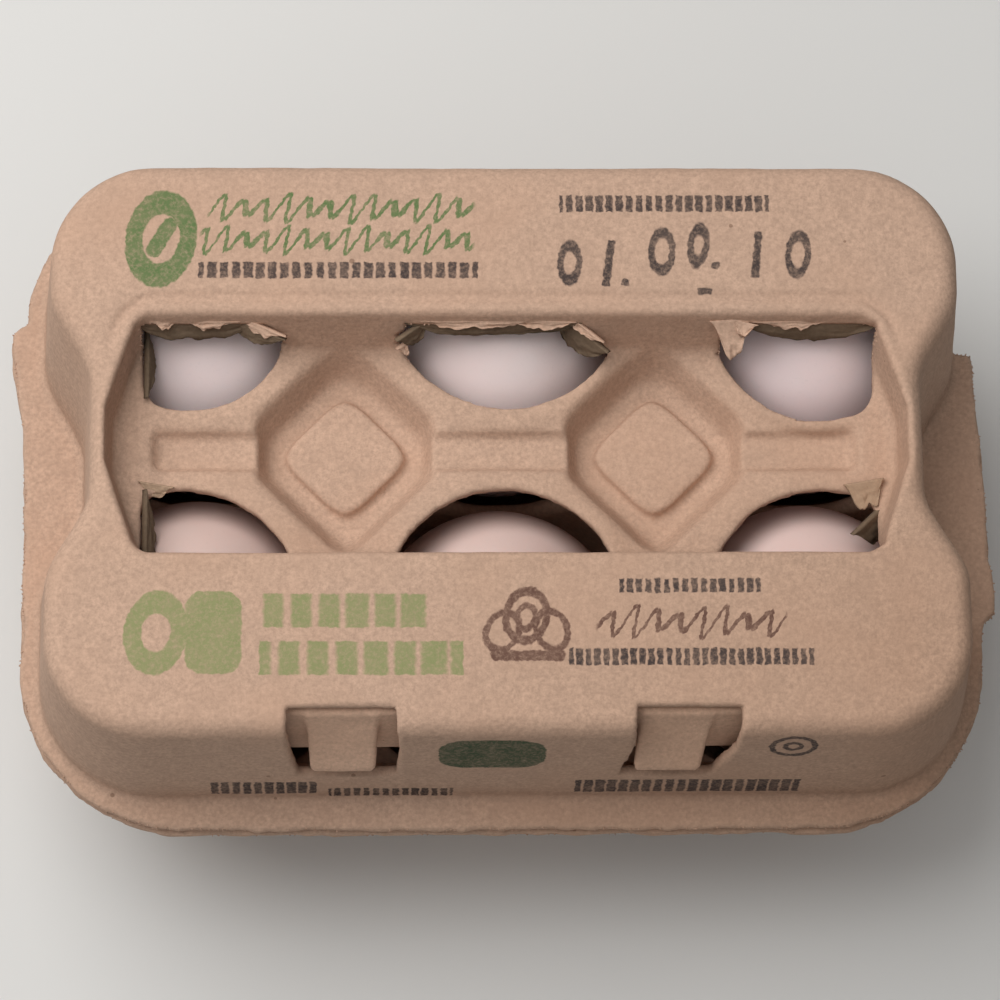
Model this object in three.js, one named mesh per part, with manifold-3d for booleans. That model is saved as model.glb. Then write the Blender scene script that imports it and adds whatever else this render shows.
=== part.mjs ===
// Moulded-pulp carton for six eggs: a cupped tray, a hinged lid with six view windows,
// the closure flap whose two tabs lock in the lid's front slots, and the eggs.
// Millimetres, +Z up, +X along the long side, the closure at the front (-Y).
import * as THREE from 'three';
import { mergeVertices } from 'three/addons/utils/BufferGeometryUtils.js';
import Module from 'manifold-3d';

const wasm = await Module();
wasm.setup();

// ---------- driving dimensions ----------
const PULP = 1.8; // wall thickness of the moulded pulp
const GAP = 0.3; // clearance between separate pieces

const RIM_HALF_X = 76.2; // outer edge of the flanges at the corners
const RIM_HALF_Y = 54.0;
const RIM_FRONT_RADIUS = 27; // corner radii of the flanges
const RIM_REAR_RADIUS = 24;
const RIM_RIGHT = [[0, -24], [2.4, -18.8], [2.4, -13.5], [1.6, 8.5], [0.8, 20]]; // the torn edge: [beyond, y]
const RIM_LEFT = [[2.4, 28], [2.4, 24], [0.3, 12], [0, -8]];
const RIM_BREAK = { y: 25, x: 54.2, centreY: 29.9, radius: 19.9, endDegrees: 70, rearX: 48 };
const LID_RIM_INSET = 0.3; // the lid's flange ends this much inside the tray's

const RIM_TOP = 38.5; // top of the lid's flange above the table
const LID_RIM_Z = RIM_TOP - PULP; // underside of the lid's flange
const DECK_TOP = LID_RIM_Z - GAP; // top of the tray's flange and decks
const DECK_Z = DECK_TOP - PULP; // underside of the tray's flange and decks

const PITCH_X = 48; // cell to cell along the carton
const ROW_OFFSET = 23.2; // egg row to the centre-line of the cells
const CENTRE_Y = 1.8; // centre-line of the cells, a little behind the middle of the rim
const COLUMNS = [-PITCH_X, 0, PITCH_X];
const ROWS = [-ROW_OFFSET, ROW_OFFSET];
const POST_X = [-PITCH_X / 2, PITCH_X / 2];

const LID_RISE = 30; // top panel above the lid's flange
const LID_TOP = RIM_TOP + LID_RISE;
const LID_BASE = { halfX: 72.8, front: -48.5, rear: 49.0, corner: 18.6, waistFlat: 3.5, waistEnd: 20 };
const LID_CROWN = { halfX: 70.0, front: -45.5, rear: 45.5, corner: 15.8, waistFlat: 8.5, waistEnd: 24 };
const WAIST_DEPTH = 6.45; // how far each end wall is pinched in
// Levels of the lid's wall: height above the flange's top, inset.
const LID_OUTSIDE = [
  [-PULP, 0],
  [LID_RISE - 3.0, 0],
  [LID_RISE - 1.4, 0.3],
  [LID_RISE - 0.4, 1.0],
  [LID_RISE, 2.0],
];
const LID_INSIDE = [
  [-PULP - 1, PULP],
  [LID_RISE - PULP - 3.2, PULP],
  [LID_RISE - PULP - 0.6, PULP + 0.9],
  [LID_RISE - PULP, PULP + 2],
];

const TROUGH_HALF_Y = 19.1; // the sunk middle of the lid, at the top panel
const TROUGH_TAPER = 0.25; // how far its walls lean in for each mm of depth
// A quarter of its plan: [x, from the centre-line].
const TROUGH_END = [[61.4, 4.2], [58.0, 14.5], [56.9, 17.6], [55.4, 19.1]];
const TROUGH_END_TAPER = 0.12;
const PANEL_FOLD = 0.8; // rounding of the panel's edge at the trough
const FOLD_LEVELS = [[1.6, 0], [0.5, 0.3], [0, 1], [-1, 1]]; // depth, share of the fold
const LAND_DEPTH = 10; // land round the windows, below the top panel
const COLLAR_RISE = 2.2; // how far the land rises to the windows' rims
const COLLAR_RADIUS = 21;
const COLLAR_WIDTH = 5.4;
const CHANNEL_DEPTH = 11.5;
const CHANNEL_HALF_X = 54.5;
const CHANNEL_HALF_Y = 2.3;
const CHANNEL_DRAFT = 1;
const SEAT_DEPTH = 16; // the seats over the posts of the tray
const SEAT_FOOT = { reach: 14.8, cutX: 12, cutY: 12 }; // |x| + |y| <= reach, |x| <= cutX, |y| <= cutY
const SEAT_HEAD = { reach: 18.6, cutX: 13.8, cutY: 16.6 };
const PAD_FOOT = { reach: 11.8, cutX: 10.5, cutY: 10.5 };
const PAD_HEAD = { reach: 10.9, cutX: 9.6, cutY: 9.6 };
const PAD_RISE = 1;

const WINDOW_RADIUS = 16.4; // the windows' rims follow the eggs
const WINDOW_FAR = 18.2; // straight edge of each window, from the centre-line
const WINDOW_BEHIND = 21; // below its head the window is open to behind the trough's wall
const WINDOW_HEAD = 26.6; // that head, above the flange
const WINDOW_END = 56.5; // outer edge of the four end windows

const SLOT_BACK_Y = -41.3; // the closure slots start on the top panel
const SLOT_KINK = 21; // narrow from this far above the flange
const SLOT_SILL = 10; // and end this far above it
const SLOTS = [
  { top: [-33.8, -17.2], middle: [-33.3, -16.6], bottom: [-32.0, -17.0] },
  { top: [18.9, 34.8], middle: [18.7, 34.2], bottom: [17.1, 30.9] },
];
const TABS = [
  { top: [-30.9, -19.7], bottom: [-30.2, -20.2] },
  { top: [19.7, 30.9], bottom: [19.0, 29.2] },
];
const FLAP_HALF_X = 52;
const FLAP_THICK = 1.6;
const FLAP_FOOT = { y: -46.2, z: LID_RIM_Z };
const FLAP_HEAD = { y: -41.9, z: RIM_TOP + 27.3 };
const TAB_TIP_Y = -48.4; // the tabs stand this far out through the slots
const TAB_THICK = 1.7;
// Levels of a tab: height over its tip, the share of its way back to the flap's head, the share of its
// top's width.
const TAB_LEVELS = [[0, 0, 0], [1.8, 0.09, 0], [7.5, 0.5, 0.4]];
// Holes in the flap that the tabs are pushed out of.
const FLAP_HOLES = [[-34.6, -16.2], [16.4, 35.2]];
const FLAP_HOLE_LOW = RIM_TOP + 4.5;
const FLAP_HOLE_HIGH = RIM_TOP + 13.8;

const POST_TOP = LID_TOP - SEAT_DEPTH - PULP - GAP;
const POST_FOOT = { reach: 11.0, cutX: 9.4, cutY: 9.4 };
const POST_NECK = { reach: 9.4, cutX: 8.2, cutY: 8.2 };
const POST_HEAD = { reach: 8.6, cutX: 7.6, cutY: 7.6 };
const POST_HOLLOW_FOOT = { reach: 8.4, cutX: 7.0, cutY: 7.0 };
const POST_HOLLOW_HEAD = { reach: 6.6, cutX: 5.8, cutY: 5.8 };
const SADDLE = [[6, 27], [10.5, 31], [13, DECK_TOP + 1]]; // half widths and heights of the dips between cups
const WEB_HALF = 1.7; // half thickness of the webs that close the corners between cups
const WEB_Z = 24.5;
const WEB_REACH = 15;
const CUP_FLOOR = 2;
// Sections of a cup: half width, squareness (2 is round), height.
const CUP_OUTSIDE = [
  [13.0, 2.4, 0],
  [14.9, 2.5, 1.4],
  [18.0, 2.7, 8],
  [21.0, 2.9, 16],
  [23.7, 3.1, 24.5],
  [24.15, 3.2, 28],
  [24.2, 3.2, DECK_Z + 0.5],
];
const CUP_INSIDE = [
  [12.2, 2.4, CUP_FLOOR],
  [13.4, 2.5, CUP_FLOOR + 1.2],
  [16.3, 2.7, 8.4],
  [19.2, 2.9, 16.4],
  [21.7, 3.1, 24.8],
  [22.0, 3.2, 30],
  [22.3, 3.2, DECK_TOP + 1],
];

// The eggs, the front row first: length, diameter, and how far the top leans in x and in y.
const EGGS = [
  [57.8, 42.4, 0.4, 0.0],
  [56.9, 41.2, -1.5, -1.4],
  [57.2, 41.4, -1.4, -0.4],
  [57.0, 41.6, 1.2, 0.5],
  [58.2, 42.4, -0.6, 0.1],
  [57.6, 41.8, 0.9, -0.1],
];
const EGG_WAIST = 0.55; // height of the widest section, as a share of the length

const CORNER_STEPS = 7;
const RIM_STEPS = 5;
const WAIST_STEPS = 6;
const CELL_SIDES = 32;
const EGG_SIDES = 24;
const EGG_STEPS = 12;

// ---------- materials ----------
function pulp(name) {
  return new THREE.MeshStandardMaterial({ name, color: 0xb9937a, roughness: 0.95, metalness: 0 });
}

function shell() {
  return new THREE.MeshStandardMaterial({ name: 'eggshell', color: 0xe6d9d6, roughness: 0.55, metalness: 0 });
}

// ---------- solids ----------
// A closed geometry as a manifold solid, with its shared vertices merged.
function solid(geometry) {
  const bare = geometry.clone();
  bare.deleteAttribute('normal');
  bare.deleteAttribute('uv');
  const merged = mergeVertices(bare, 1e-4);
  return new wasm.Manifold(new wasm.Mesh({
    numProp: 3,
    vertProperties: merged.attributes.position.array,
    triVerts: merged.index.array,
  }));
}

// A named mesh from a manifold solid.
function meshOf(name, body, material) {
  const { vertProperties, triVerts } = body.getMesh();
  const geometry = new THREE.BufferGeometry();
  geometry.setAttribute('position', new THREE.BufferAttribute(new Float32Array(vertProperties), 3));
  geometry.setIndex(new THREE.BufferAttribute(new Uint32Array(triVerts), 1));
  geometry.computeVertexNormals();
  const mesh = new THREE.Mesh(geometry, material);
  mesh.name = name;
  return mesh;
}

const union = (bodies) => bodies.reduce((sum, body) => sum.add(body));

// A solid through a stack of rings from the lowest to the highest. The rings have equal counts,
// run anticlockwise seen from above, and are star-shaped about their own middle.
function loft(rings) {
  const sides = rings[0].length;
  const positions = rings.flat().flatMap((p) => [p.x, p.y, p.z]);
  const index = [];
  for (let level = 0; level + 1 < rings.length; level += 1) {
    for (let i = 0; i < sides; i += 1) {
      const a = level * sides + i;
      const b = level * sides + ((i + 1) % sides);
      index.push(a, b, b + sides, a, b + sides, a + sides);
    }
  }
  const cap = (ring, first, flipped) => {
    const middle = ring.reduce((sum, p) => sum.add(p), new THREE.Vector3()).divideScalar(sides);
    const centre = positions.length / 3;
    positions.push(middle.x, middle.y, middle.z);
    for (let i = 0; i < sides; i += 1) {
      const pair = [first + i, first + ((i + 1) % sides)];
      index.push(centre, ...(flipped ? pair.reverse() : pair));
    }
  };
  cap(rings[0], 0, true);
  cap(rings[rings.length - 1], (rings.length - 1) * sides, false);
  const geometry = new THREE.BufferGeometry();
  geometry.setAttribute('position', new THREE.Float32BufferAttribute(positions, 3));
  geometry.setIndex(index);
  return solid(geometry);
}

// A shape in plan, extruded from one height to another.
function prism(shape, low, high, curveSegments = 12) {
  const depth = high - low;
  const geometry = new THREE.ExtrudeGeometry(shape, { depth, bevelEnabled: false, curveSegments });
  return solid(geometry.translate(0, 0, low));
}

// A profile of [y, z] points, extruded along X from x0 to x1.
function barAlongX(profile, x0, x1) {
  const shape = new THREE.Shape(profile.map(([y, z]) => new THREE.Vector2(y, z)));
  const geometry = new THREE.ExtrudeGeometry(shape, { depth: x1 - x0, bevelEnabled: false });
  return solid(geometry.rotateY(Math.PI / 2).rotateX(Math.PI / 2).translate(x0, 0, 0));
}

const ring = (points, z) => points.map(([x, y]) => new THREE.Vector3(x, y, z));
const mix = THREE.MathUtils.lerp;

// ---------- outlines ----------
// The flanges' outline. Its sides are torn unevenly, and its rear right corner is broken back
// to the lid's wall.
function rimOutline(inset) {
  const x = RIM_HALF_X - inset;
  const y = RIM_HALF_Y - inset;
  const frontX = RIM_HALF_X - RIM_FRONT_RADIUS;
  const frontY = -RIM_HALF_Y + RIM_FRONT_RADIUS;
  const rearX = -RIM_HALF_X + RIM_REAR_RADIUS;
  const rearY = RIM_HALF_Y - RIM_REAR_RADIUS;
  const frontRadius = RIM_FRONT_RADIUS - inset;
  const rearRadius = RIM_REAR_RADIUS - inset;
  const brokenRadius = RIM_BREAK.radius - inset;
  const shape = new THREE.Shape();
  shape.moveTo(-frontX, -y);
  shape.absarc(frontX, frontY, frontRadius, -Math.PI / 2, 0, false);
  RIM_RIGHT.forEach(([beyond, sideY]) => shape.lineTo(x + beyond, sideY));
  shape.lineTo(x + 0.4, RIM_BREAK.y - inset);
  shape.lineTo(RIM_BREAK.x + brokenRadius, RIM_BREAK.y - inset);
  shape.absarc(
    RIM_BREAK.x,
    RIM_BREAK.centreY,
    brokenRadius,
    0,
    THREE.MathUtils.degToRad(RIM_BREAK.endDegrees),
    false,
  );
  shape.lineTo(RIM_BREAK.rearX, y);
  shape.absarc(rearX, rearY, rearRadius, Math.PI / 2, Math.PI, false);
  RIM_LEFT.forEach(([beyond, sideY]) => shape.lineTo(-x - beyond, sideY));
  shape.absarc(-frontX, frontY, frontRadius, Math.PI, 1.5 * Math.PI, false);
  return shape;
}

// One level of the lid's wall: a rounded rectangle whose ends are pinched in at the centre-line.
function lidRing(rise, inset) {
  const t = rise / LID_RISE;
  const size = {};
  for (const key of Object.keys(LID_BASE)) {
    size[key] = mix(LID_BASE[key], LID_CROWN[key], t);
  }
  const halfX = size.halfX - inset;
  const front = size.front + inset;
  const rear = size.rear - inset;
  const corner = size.corner - inset;
  const points = [];
  const arc = (cx, cy, from) => {
    for (let i = 0; i <= CORNER_STEPS; i += 1) {
      const angle = from + (i / CORNER_STEPS) * (Math.PI / 2);
      points.push([cx + corner * Math.cos(angle), cy + corner * Math.sin(angle)]);
    }
  };
  const side = [];
  for (let i = 0; i <= WAIST_STEPS; i += 1) {
    const s = i / WAIST_STEPS;
    const x = halfX - WAIST_DEPTH * (1 - THREE.MathUtils.smoothstep(s, 0, 1));
    side.push([x, mix(size.waistFlat, size.waistEnd, s)]);
  }
  const rightSide = [
    ...side.map(([x, v]) => [x, CENTRE_Y - v]).reverse(),
    ...side.map(([x, v]) => [x, CENTRE_Y + v]),
  ];
  arc(halfX - corner, front + corner, -Math.PI / 2);
  points.push(...rightSide);
  arc(halfX - corner, rear - corner, 0);
  arc(-halfX + corner, rear - corner, Math.PI / 2);
  points.push(...rightSide.map(([x, y]) => [-x, y]).reverse());
  arc(-halfX + corner, front + corner, Math.PI);
  return ring(points, RIM_TOP + rise);
}

// One level of the trough sunk along the lid: wider at the middle of each end.
function troughRing(depth, grow) {
  const taper = TROUGH_TAPER * depth;
  const right = TROUGH_END.map(([x, v], i) => [
    x - TROUGH_END_TAPER * depth + grow,
    i > 0 ? v - taper + grow : v,
  ]);
  const half = [...right.map(([x, v]) => [x, -v]).reverse(), ...right];
  const points = [...half, ...half.map(([x, v]) => [-x, v]).reverse()];
  return ring(points.map(([x, v]) => [x, v + CENTRE_Y]), LID_TOP - depth);
}

// A diamond with cut corners about a post, widened all round by grow.
function diamondRing(x, { reach, cutX, cutY }, z, grow = 0) {
  const r = reach + Math.SQRT2 * grow;
  const cx = cutX + grow;
  const cy = cutY + grow;
  const points = [
    [cx, cx - r],
    [cx, r - cx],
    [r - cy, cy],
    [cy - r, cy],
    [-cx, r - cx],
    [-cx, cx - r],
    [cy - r, -cy],
    [r - cy, -cy],
  ];
  return ring(points.map(([dx, v]) => [x + dx, CENTRE_Y + v]), z);
}

// A round section with as many sides as the cups.
function roundRing(x, y, radius, z) {
  return cellRing(x, y, radius, 2, z);
}

// A rounded-square section of a cup.
function cellRing(x, y, half, squareness, z) {
  const points = [];
  for (let i = 0; i < CELL_SIDES; i += 1) {
    const angle = (i / CELL_SIDES) * 2 * Math.PI;
    const c = Math.abs(Math.cos(angle));
    const s = Math.abs(Math.sin(angle));
    const radius = half / (c ** squareness + s ** squareness) ** (1 / squareness);
    points.push([x + radius * Math.cos(angle), y + radius * Math.sin(angle)]);
  }
  return ring(points, z);
}

// ---------- lid ----------
// What is sunk into the top of the lid. With grow set to the wall thickness it is the room
// that the pulp round it takes from the lid's inside.
function sunkenParts(grow) {
  const fold = grow > 0 ? 0 : PANEL_FOLD;
  const trough = loft([
    troughRing(LAND_DEPTH + grow, grow),
    ...FOLD_LEVELS.map(([depth, share]) => troughRing(depth, grow + share * fold)),
  ]);
  const landZ = LID_TOP - LAND_DEPTH - grow;
  const collars = COLUMNS.flatMap((x) => ROWS.map((row) => loft([
    roundRing(x, CENTRE_Y + row, COLLAR_RADIUS + 2 - grow, landZ - 2),
    roundRing(x, CENTRE_Y + row, COLLAR_RADIUS - grow, landZ),
    roundRing(x, CENTRE_Y + row, COLLAR_RADIUS - COLLAR_WIDTH - grow, landZ + COLLAR_RISE),
  ])));
  const channelRing = (halfX, halfY, z) => ring([
    [-halfX, CENTRE_Y - halfY],
    [halfX, CENTRE_Y - halfY],
    [halfX, CENTRE_Y + halfY],
    [-halfX, CENTRE_Y + halfY],
  ], z);
  const channel = loft([
    channelRing(CHANNEL_HALF_X + grow, CHANNEL_HALF_Y + grow, LID_TOP - CHANNEL_DEPTH - grow),
    channelRing(
      CHANNEL_HALF_X + CHANNEL_DRAFT + grow,
      CHANNEL_HALF_Y + CHANNEL_DRAFT + grow,
      landZ + COLLAR_RISE + grow,
    ),
  ]);
  const seats = POST_X.map((x) => loft([
    diamondRing(x, SEAT_FOOT, LID_TOP - SEAT_DEPTH - grow, grow),
    diamondRing(x, SEAT_HEAD, landZ + COLLAR_RISE + 0.2, grow),
  ]));
  return union([trough.subtract(union(collars)), channel, ...seats]);
}

// A window: a round hole about the egg, ending straight at a distance from the centre-line and at
// the end windows' outer edge.
function windowHole(x, row, far, top) {
  const low = RIM_TOP + LAND_DEPTH;
  const hole = loft([
    roundRing(x, CENTRE_Y + row, WINDOW_RADIUS, low),
    roundRing(x, CENTRE_Y + row, WINDOW_RADIUS, top),
  ]);
  const band = new THREE.BoxGeometry(2 * WINDOW_END, 2 * far, 4 * LID_RISE);
  return hole.intersect(solid(band.translate(0, CENTRE_Y, LID_TOP)));
}

function slotSolid({ top, middle, bottom }) {
  const far = -RIM_HALF_Y;
  const level = ([x0, x1], z) => ring([[x0, far], [x1, far], [x1, SLOT_BACK_Y], [x0, SLOT_BACK_Y]], z);
  return loft([
    level(bottom, RIM_TOP + SLOT_SILL),
    level(middle, RIM_TOP + SLOT_KINK),
    level(top, LID_TOP),
    level(top, LID_TOP + 1),
  ]);
}

function makeLid() {
  const outside = loft(LID_OUTSIDE.map(([rise, inset]) => lidRing(rise, inset)));
  const inside = loft(LID_INSIDE.map(([rise, inset]) => lidRing(rise, inset)));
  const flange = prism(rimOutline(LID_RIM_INSET), LID_RIM_Z, RIM_TOP, RIM_STEPS);
  const pads = POST_X.map((x) => loft([
    diamondRing(x, PAD_FOOT, LID_TOP - SEAT_DEPTH - 0.5),
    diamondRing(x, PAD_HEAD, LID_TOP - SEAT_DEPTH + PAD_RISE),
  ]));
  const windows = COLUMNS.flatMap((x) => ROWS.flatMap((row) => [
    windowHole(x, row, WINDOW_FAR, LID_TOP + 2),
    windowHole(x, row, WINDOW_BEHIND, RIM_TOP + WINDOW_HEAD),
  ]));
  return outside
    .add(flange)
    .subtract(sunkenParts(0))
    .add(union(pads))
    .subtract(inside.subtract(sunkenParts(PULP)))
    .subtract(union(windows))
    .subtract(union(SLOTS.map(slotSolid)));
}

// ---------- tray ----------
function cups(levels) {
  return COLUMNS.flatMap((x) => ROWS.map((row) => (
    loft(levels.map(([half, squareness, z]) => cellRing(x, CENTRE_Y + row, half, squareness, z)))
  )));
}

// The webs between neighbouring cups, under the deck.
function webs() {
  const height = DECK_TOP - WEB_Z;
  const middleZ = (DECK_TOP + WEB_Z) / 2;
  const length = 2 * (PITCH_X + WEB_REACH);
  const along = new THREE.BoxGeometry(length, 2 * WEB_HALF, height).translate(0, CENTRE_Y, middleZ);
  const across = POST_X.map((x) => (
    new THREE.BoxGeometry(2 * WEB_HALF, 2 * (ROW_OFFSET + WEB_REACH), height).translate(x, CENTRE_Y, middleZ)
  ));
  return [along, ...across].map(solid);
}

// Takes the walls between neighbouring cups down to the saddles.
function saddleCuts() {
  const depth = 7;
  const right = SADDLE.map(([half, z]) => new THREE.Vector2(half, z));
  const left = SADDLE.map(([half, z]) => new THREE.Vector2(-half, z)).reverse();
  const notch = new THREE.ExtrudeGeometry(
    new THREE.Shape([...right, ...left]),
    { depth, bevelEnabled: false },
  ).rotateX(Math.PI / 2).translate(0, depth / 2, 0);
  const acrossRows = COLUMNS.map((x) => solid(notch.clone().translate(x, CENTRE_Y, 0)));
  const alongRows = POST_X.flatMap((x) => ROWS.map((row) => (
    solid(notch.clone().rotateZ(Math.PI / 2).translate(x, CENTRE_Y + row, 0))
  )));
  return union([...acrossRows, ...alongRows]);
}

function makeTray() {
  const deck = prism(rimOutline(0), DECK_Z, DECK_TOP, RIM_STEPS);
  const posts = POST_X.map((x) => loft([
    diamondRing(x, POST_FOOT, DECK_Z),
    diamondRing(x, POST_NECK, POST_TOP - 0.7),
    diamondRing(x, POST_HEAD, POST_TOP),
  ]));
  const postHollows = POST_X.map((x) => loft([
    diamondRing(x, POST_HOLLOW_FOOT, WEB_Z - 1),
    diamondRing(x, POST_HOLLOW_HEAD, POST_TOP - PULP),
  ]));
  return union([...cups(CUP_OUTSIDE), ...webs()])
    .add(deck)
    .subtract(saddleCuts())
    .add(union(posts))
    .subtract(union(postHollows))
    .subtract(union(cups(CUP_INSIDE)));
}

// ---------- closure flap ----------
function makeFlap() {
  const panel = barAlongX([
    [FLAP_FOOT.y, FLAP_FOOT.z],
    [FLAP_FOOT.y + FLAP_THICK, FLAP_FOOT.z],
    [FLAP_HEAD.y + FLAP_THICK, FLAP_HEAD.z],
    [FLAP_HEAD.y, FLAP_HEAD.z],
  ], -FLAP_HALF_X, FLAP_HALF_X);
  const tipZ = RIM_TOP + SLOT_SILL + GAP;
  const tabs = TABS.map(({ top, bottom }) => {
    const level = (back, wide, z) => {
      const x0 = mix(bottom[0], top[0], wide);
      const x1 = mix(bottom[1], top[1], wide);
      const y = mix(TAB_TIP_Y, FLAP_HEAD.y, back);
      const thick = mix(TAB_THICK, FLAP_THICK, back);
      return ring([[x0, y], [x1, y], [x1, y + thick], [x0, y + thick]], z);
    };
    return loft([
      ...TAB_LEVELS.map(([height, back, wide]) => level(back, wide, tipZ + height)),
      level(1, 1, FLAP_HEAD.z),
    ]);
  });
  const holes = FLAP_HOLES.map(([x0, x1]) => {
    const height = FLAP_HOLE_HIGH - FLAP_HOLE_LOW;
    const hole = new THREE.BoxGeometry(x1 - x0, 10 * FLAP_THICK, height);
    return solid(hole.translate((x0 + x1) / 2, FLAP_FOOT.y, (FLAP_HOLE_LOW + FLAP_HOLE_HIGH) / 2));
  });
  return panel.subtract(union(holes)).add(union(tabs));
}

// ---------- eggs ----------
// An egg on the floor of its cup, pointed end down and leaning a little.
function makeEgg([length, diameter, leanX, leanY]) {
  const radius = diameter / 2;
  const profile = [];
  for (let i = 0; i <= EGG_STEPS; i += 1) {
    const angle = (i / EGG_STEPS) * Math.PI;
    const low = angle < Math.PI / 2;
    const half = low ? EGG_WAIST * length : (1 - EGG_WAIST) * length;
    const r = radius * Math.sin(angle);
    const onAxis = i % EGG_STEPS === 0;
    profile.push(new THREE.Vector2(onAxis ? 0 : r, EGG_WAIST * length - half * Math.cos(angle)));
  }
  return solid(new THREE.LatheGeometry(profile, EGG_SIDES)
    .rotateX(Math.PI / 2 - Math.asin(leanY / length))
    .rotateY(Math.asin(leanX / length)));
}

// ---------- the carton ----------
const carton = new THREE.Group();
carton.add(meshOf('tray', makeTray(), pulp('tray pulp')));
carton.add(meshOf('lid', makeLid(), pulp('lid pulp')));
carton.add(meshOf('closure_flap', makeFlap(), pulp('flap pulp')));
ROWS.forEach((row, rowIndex) => {
  COLUMNS.forEach((x, column) => {
    const number = rowIndex * COLUMNS.length + column + 1;
    const egg = meshOf(`egg_${number}`, makeEgg(EGGS[number - 1]), shell());
    egg.position.set(x, CENTRE_Y + row, CUP_FLOOR + GAP);
    carton.add(egg);
  });
});

export default carton;
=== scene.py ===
"""Finished pieces of a moulded-pulp egg carton with six eggs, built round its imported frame."""
import math

import bmesh
import bpy
import numpy as np
from bpy.props import FloatProperty, FloatVectorProperty, IntProperty, PointerProperty
from mathutils import Matrix, Vector


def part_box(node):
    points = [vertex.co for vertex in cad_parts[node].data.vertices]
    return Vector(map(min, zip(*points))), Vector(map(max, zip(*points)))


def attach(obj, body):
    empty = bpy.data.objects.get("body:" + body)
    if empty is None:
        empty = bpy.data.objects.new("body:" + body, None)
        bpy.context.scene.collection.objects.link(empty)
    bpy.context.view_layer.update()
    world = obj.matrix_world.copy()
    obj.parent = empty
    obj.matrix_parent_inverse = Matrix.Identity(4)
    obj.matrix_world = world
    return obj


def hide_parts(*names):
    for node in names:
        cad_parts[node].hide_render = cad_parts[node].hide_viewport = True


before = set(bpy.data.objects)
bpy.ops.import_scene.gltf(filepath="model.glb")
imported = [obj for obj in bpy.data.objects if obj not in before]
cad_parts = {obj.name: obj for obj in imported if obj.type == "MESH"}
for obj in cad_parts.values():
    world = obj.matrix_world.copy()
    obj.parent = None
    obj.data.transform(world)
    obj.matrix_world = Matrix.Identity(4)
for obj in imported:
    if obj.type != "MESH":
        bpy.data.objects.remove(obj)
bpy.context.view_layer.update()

bl_info = {
    "name": "Egg carton",
    "version": (1, 0, 0),
    "blender": (4, 5, 0),
    "location": "View3D > Sidebar > Carton",
    "description": "Builds a moulded-pulp carton, its print, its torn edges and the eggs in it",
    "category": "Add Mesh",
}

MM = 0.001

# ---------------------------------------------------------------- sizes, in millimetres
# The meshing grids: half their size in plan, and their spacing in quick and in full runs.
GRID_EDGE = (79.5, 55.0)
GRID_SPACING = {"lid": (1.1, 0.68), "tray": (1.3, 0.86), "flap": (0.8, 0.5)}
LID_LOW, LID_HIGH = (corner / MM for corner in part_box("lid"))
LID_TOP = LID_HIGH.z
LID_RISE = 30.0
RIM_TOP = LID_TOP - LID_RISE
LID_RIM_Z = LID_LOW.z
GAP = 0.3
DECK_TOP = LID_RIM_Z - GAP
# The cells' pitch along the carton, and each row's distance from the centre-line.
PITCH = 48.0
ROW = 23.2
CENTRE_Y = 1.8
CUP_FLOOR = 2.0
POST_TOP = (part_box("tray")[1] / MM).z
# The flanges: half their size, and the front and rear corners' radii.
RIM_HALF = (76.2, 54.0)
RIM_RADII = (27.0, 24.0)
# A cup's half width and the squareness of its plan, by height.
CUP_HEIGHTS = [2.0, 3.2, 8.4, 16.4, 24.8, 30.0, 37.4]
CUP_HALVES = [12.2, 13.4, 16.3, 19.2, 21.7, 22.0, 22.3]
CUP_SQUARENESS = [2.4, 2.5, 2.7, 2.9, 3.1, 3.2, 3.2]
# A post's half size across its faces and across its cut corners, by height.
POST_HEIGHTS = [26.0, POST_TOP - 0.7, POST_TOP]
POST_SIZES = [11.9, 9.4, 8.6]
POST_CUTS = [10.2, 8.2, 7.6]
# The saddles between neighbouring cups: lowest height, rise to the posts, half the width.
SADDLE_LOW, SADDLE_RISE, SADDLE_HALF = 27.0, 10.6, 4.4
# The lid's walls at their foot and at the top: along Y, half the length, the corners' radius, the
# pinch at each end, and where the pinch is whole and has run out, from the centre-line.
LID_FRONT, LID_REAR = (-48.5, -45.5), (49.0, 45.5)
LID_END = (72.8, 70.0)
LID_CORNER = (18.6, 15.8)
PINCH = 6.45
PINCH_WHOLE, PINCH_GONE = (3.5, 8.5), (20.0, 24.0)
# The sunk middle: half its width, its walls' lean, and the depths and rises of what is in it.
TROUGH_HALF = 19.1
TROUGH_LEAN_FRONT, TROUGH_LEAN_REAR, TROUGH_LEAN_END = 0.25, 0.34, 0.12
TROUGH_END, END_FLAT, END_TAPER = 61.4, 4.2, 0.335
LAND_DEPTH, DOME_RISE, CHANNEL_DEPTH, END_RISE, RIDGE_RISE = 10.0, 2.2, 1.5, 3.6, 0.9
DOME_REACH = 21.5
CHANNEL_HALF, CHANNEL_END = 3.7, 55.6
RIDGE_END = 59.0
# The groove round the rear right window: middle along, middle from the centre-line, radius, depth.
RING_X, RING_V, RING_RADIUS, RING_DEPTH = 48.8, 21.0, 18.4, 0.45
# A seat and the pad on it: rise or depth, half the size along and across, and across the corners.
SEAT_DEPTH, SEAT_RISE, SEAT_HALVES, SEAT_CORNERS = 16.0, 6.6, (11.8, 13.9), 14.6
PAD_RISE, PAD_HALF, PAD_CORNERS = 1.35, 9.4, 10.6
# Where the outer windows end along the carton.
WINDOW_ENDS = (-56.1, 57.3)
# How far the windows' heads are from the centre-line, below and above the turn of the wall.
WINDOW_HEADS, HEAD_TURN = (21.0, 17.9), RIM_TOP + 26.2
# The windows' arcs, front row then rear row: middle along, middle from the centre-line, radius.
WINDOWS = [
    [(-49.9, 24.5, 18.2), (-0.4, 24.5, 18.2), (48.9, 24.3, 17.9)],
    [(-48.6, 21.4, 14.85), (0.3, 25.5, 18.6), (48.8, 21.0, 16.2)],
]
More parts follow.
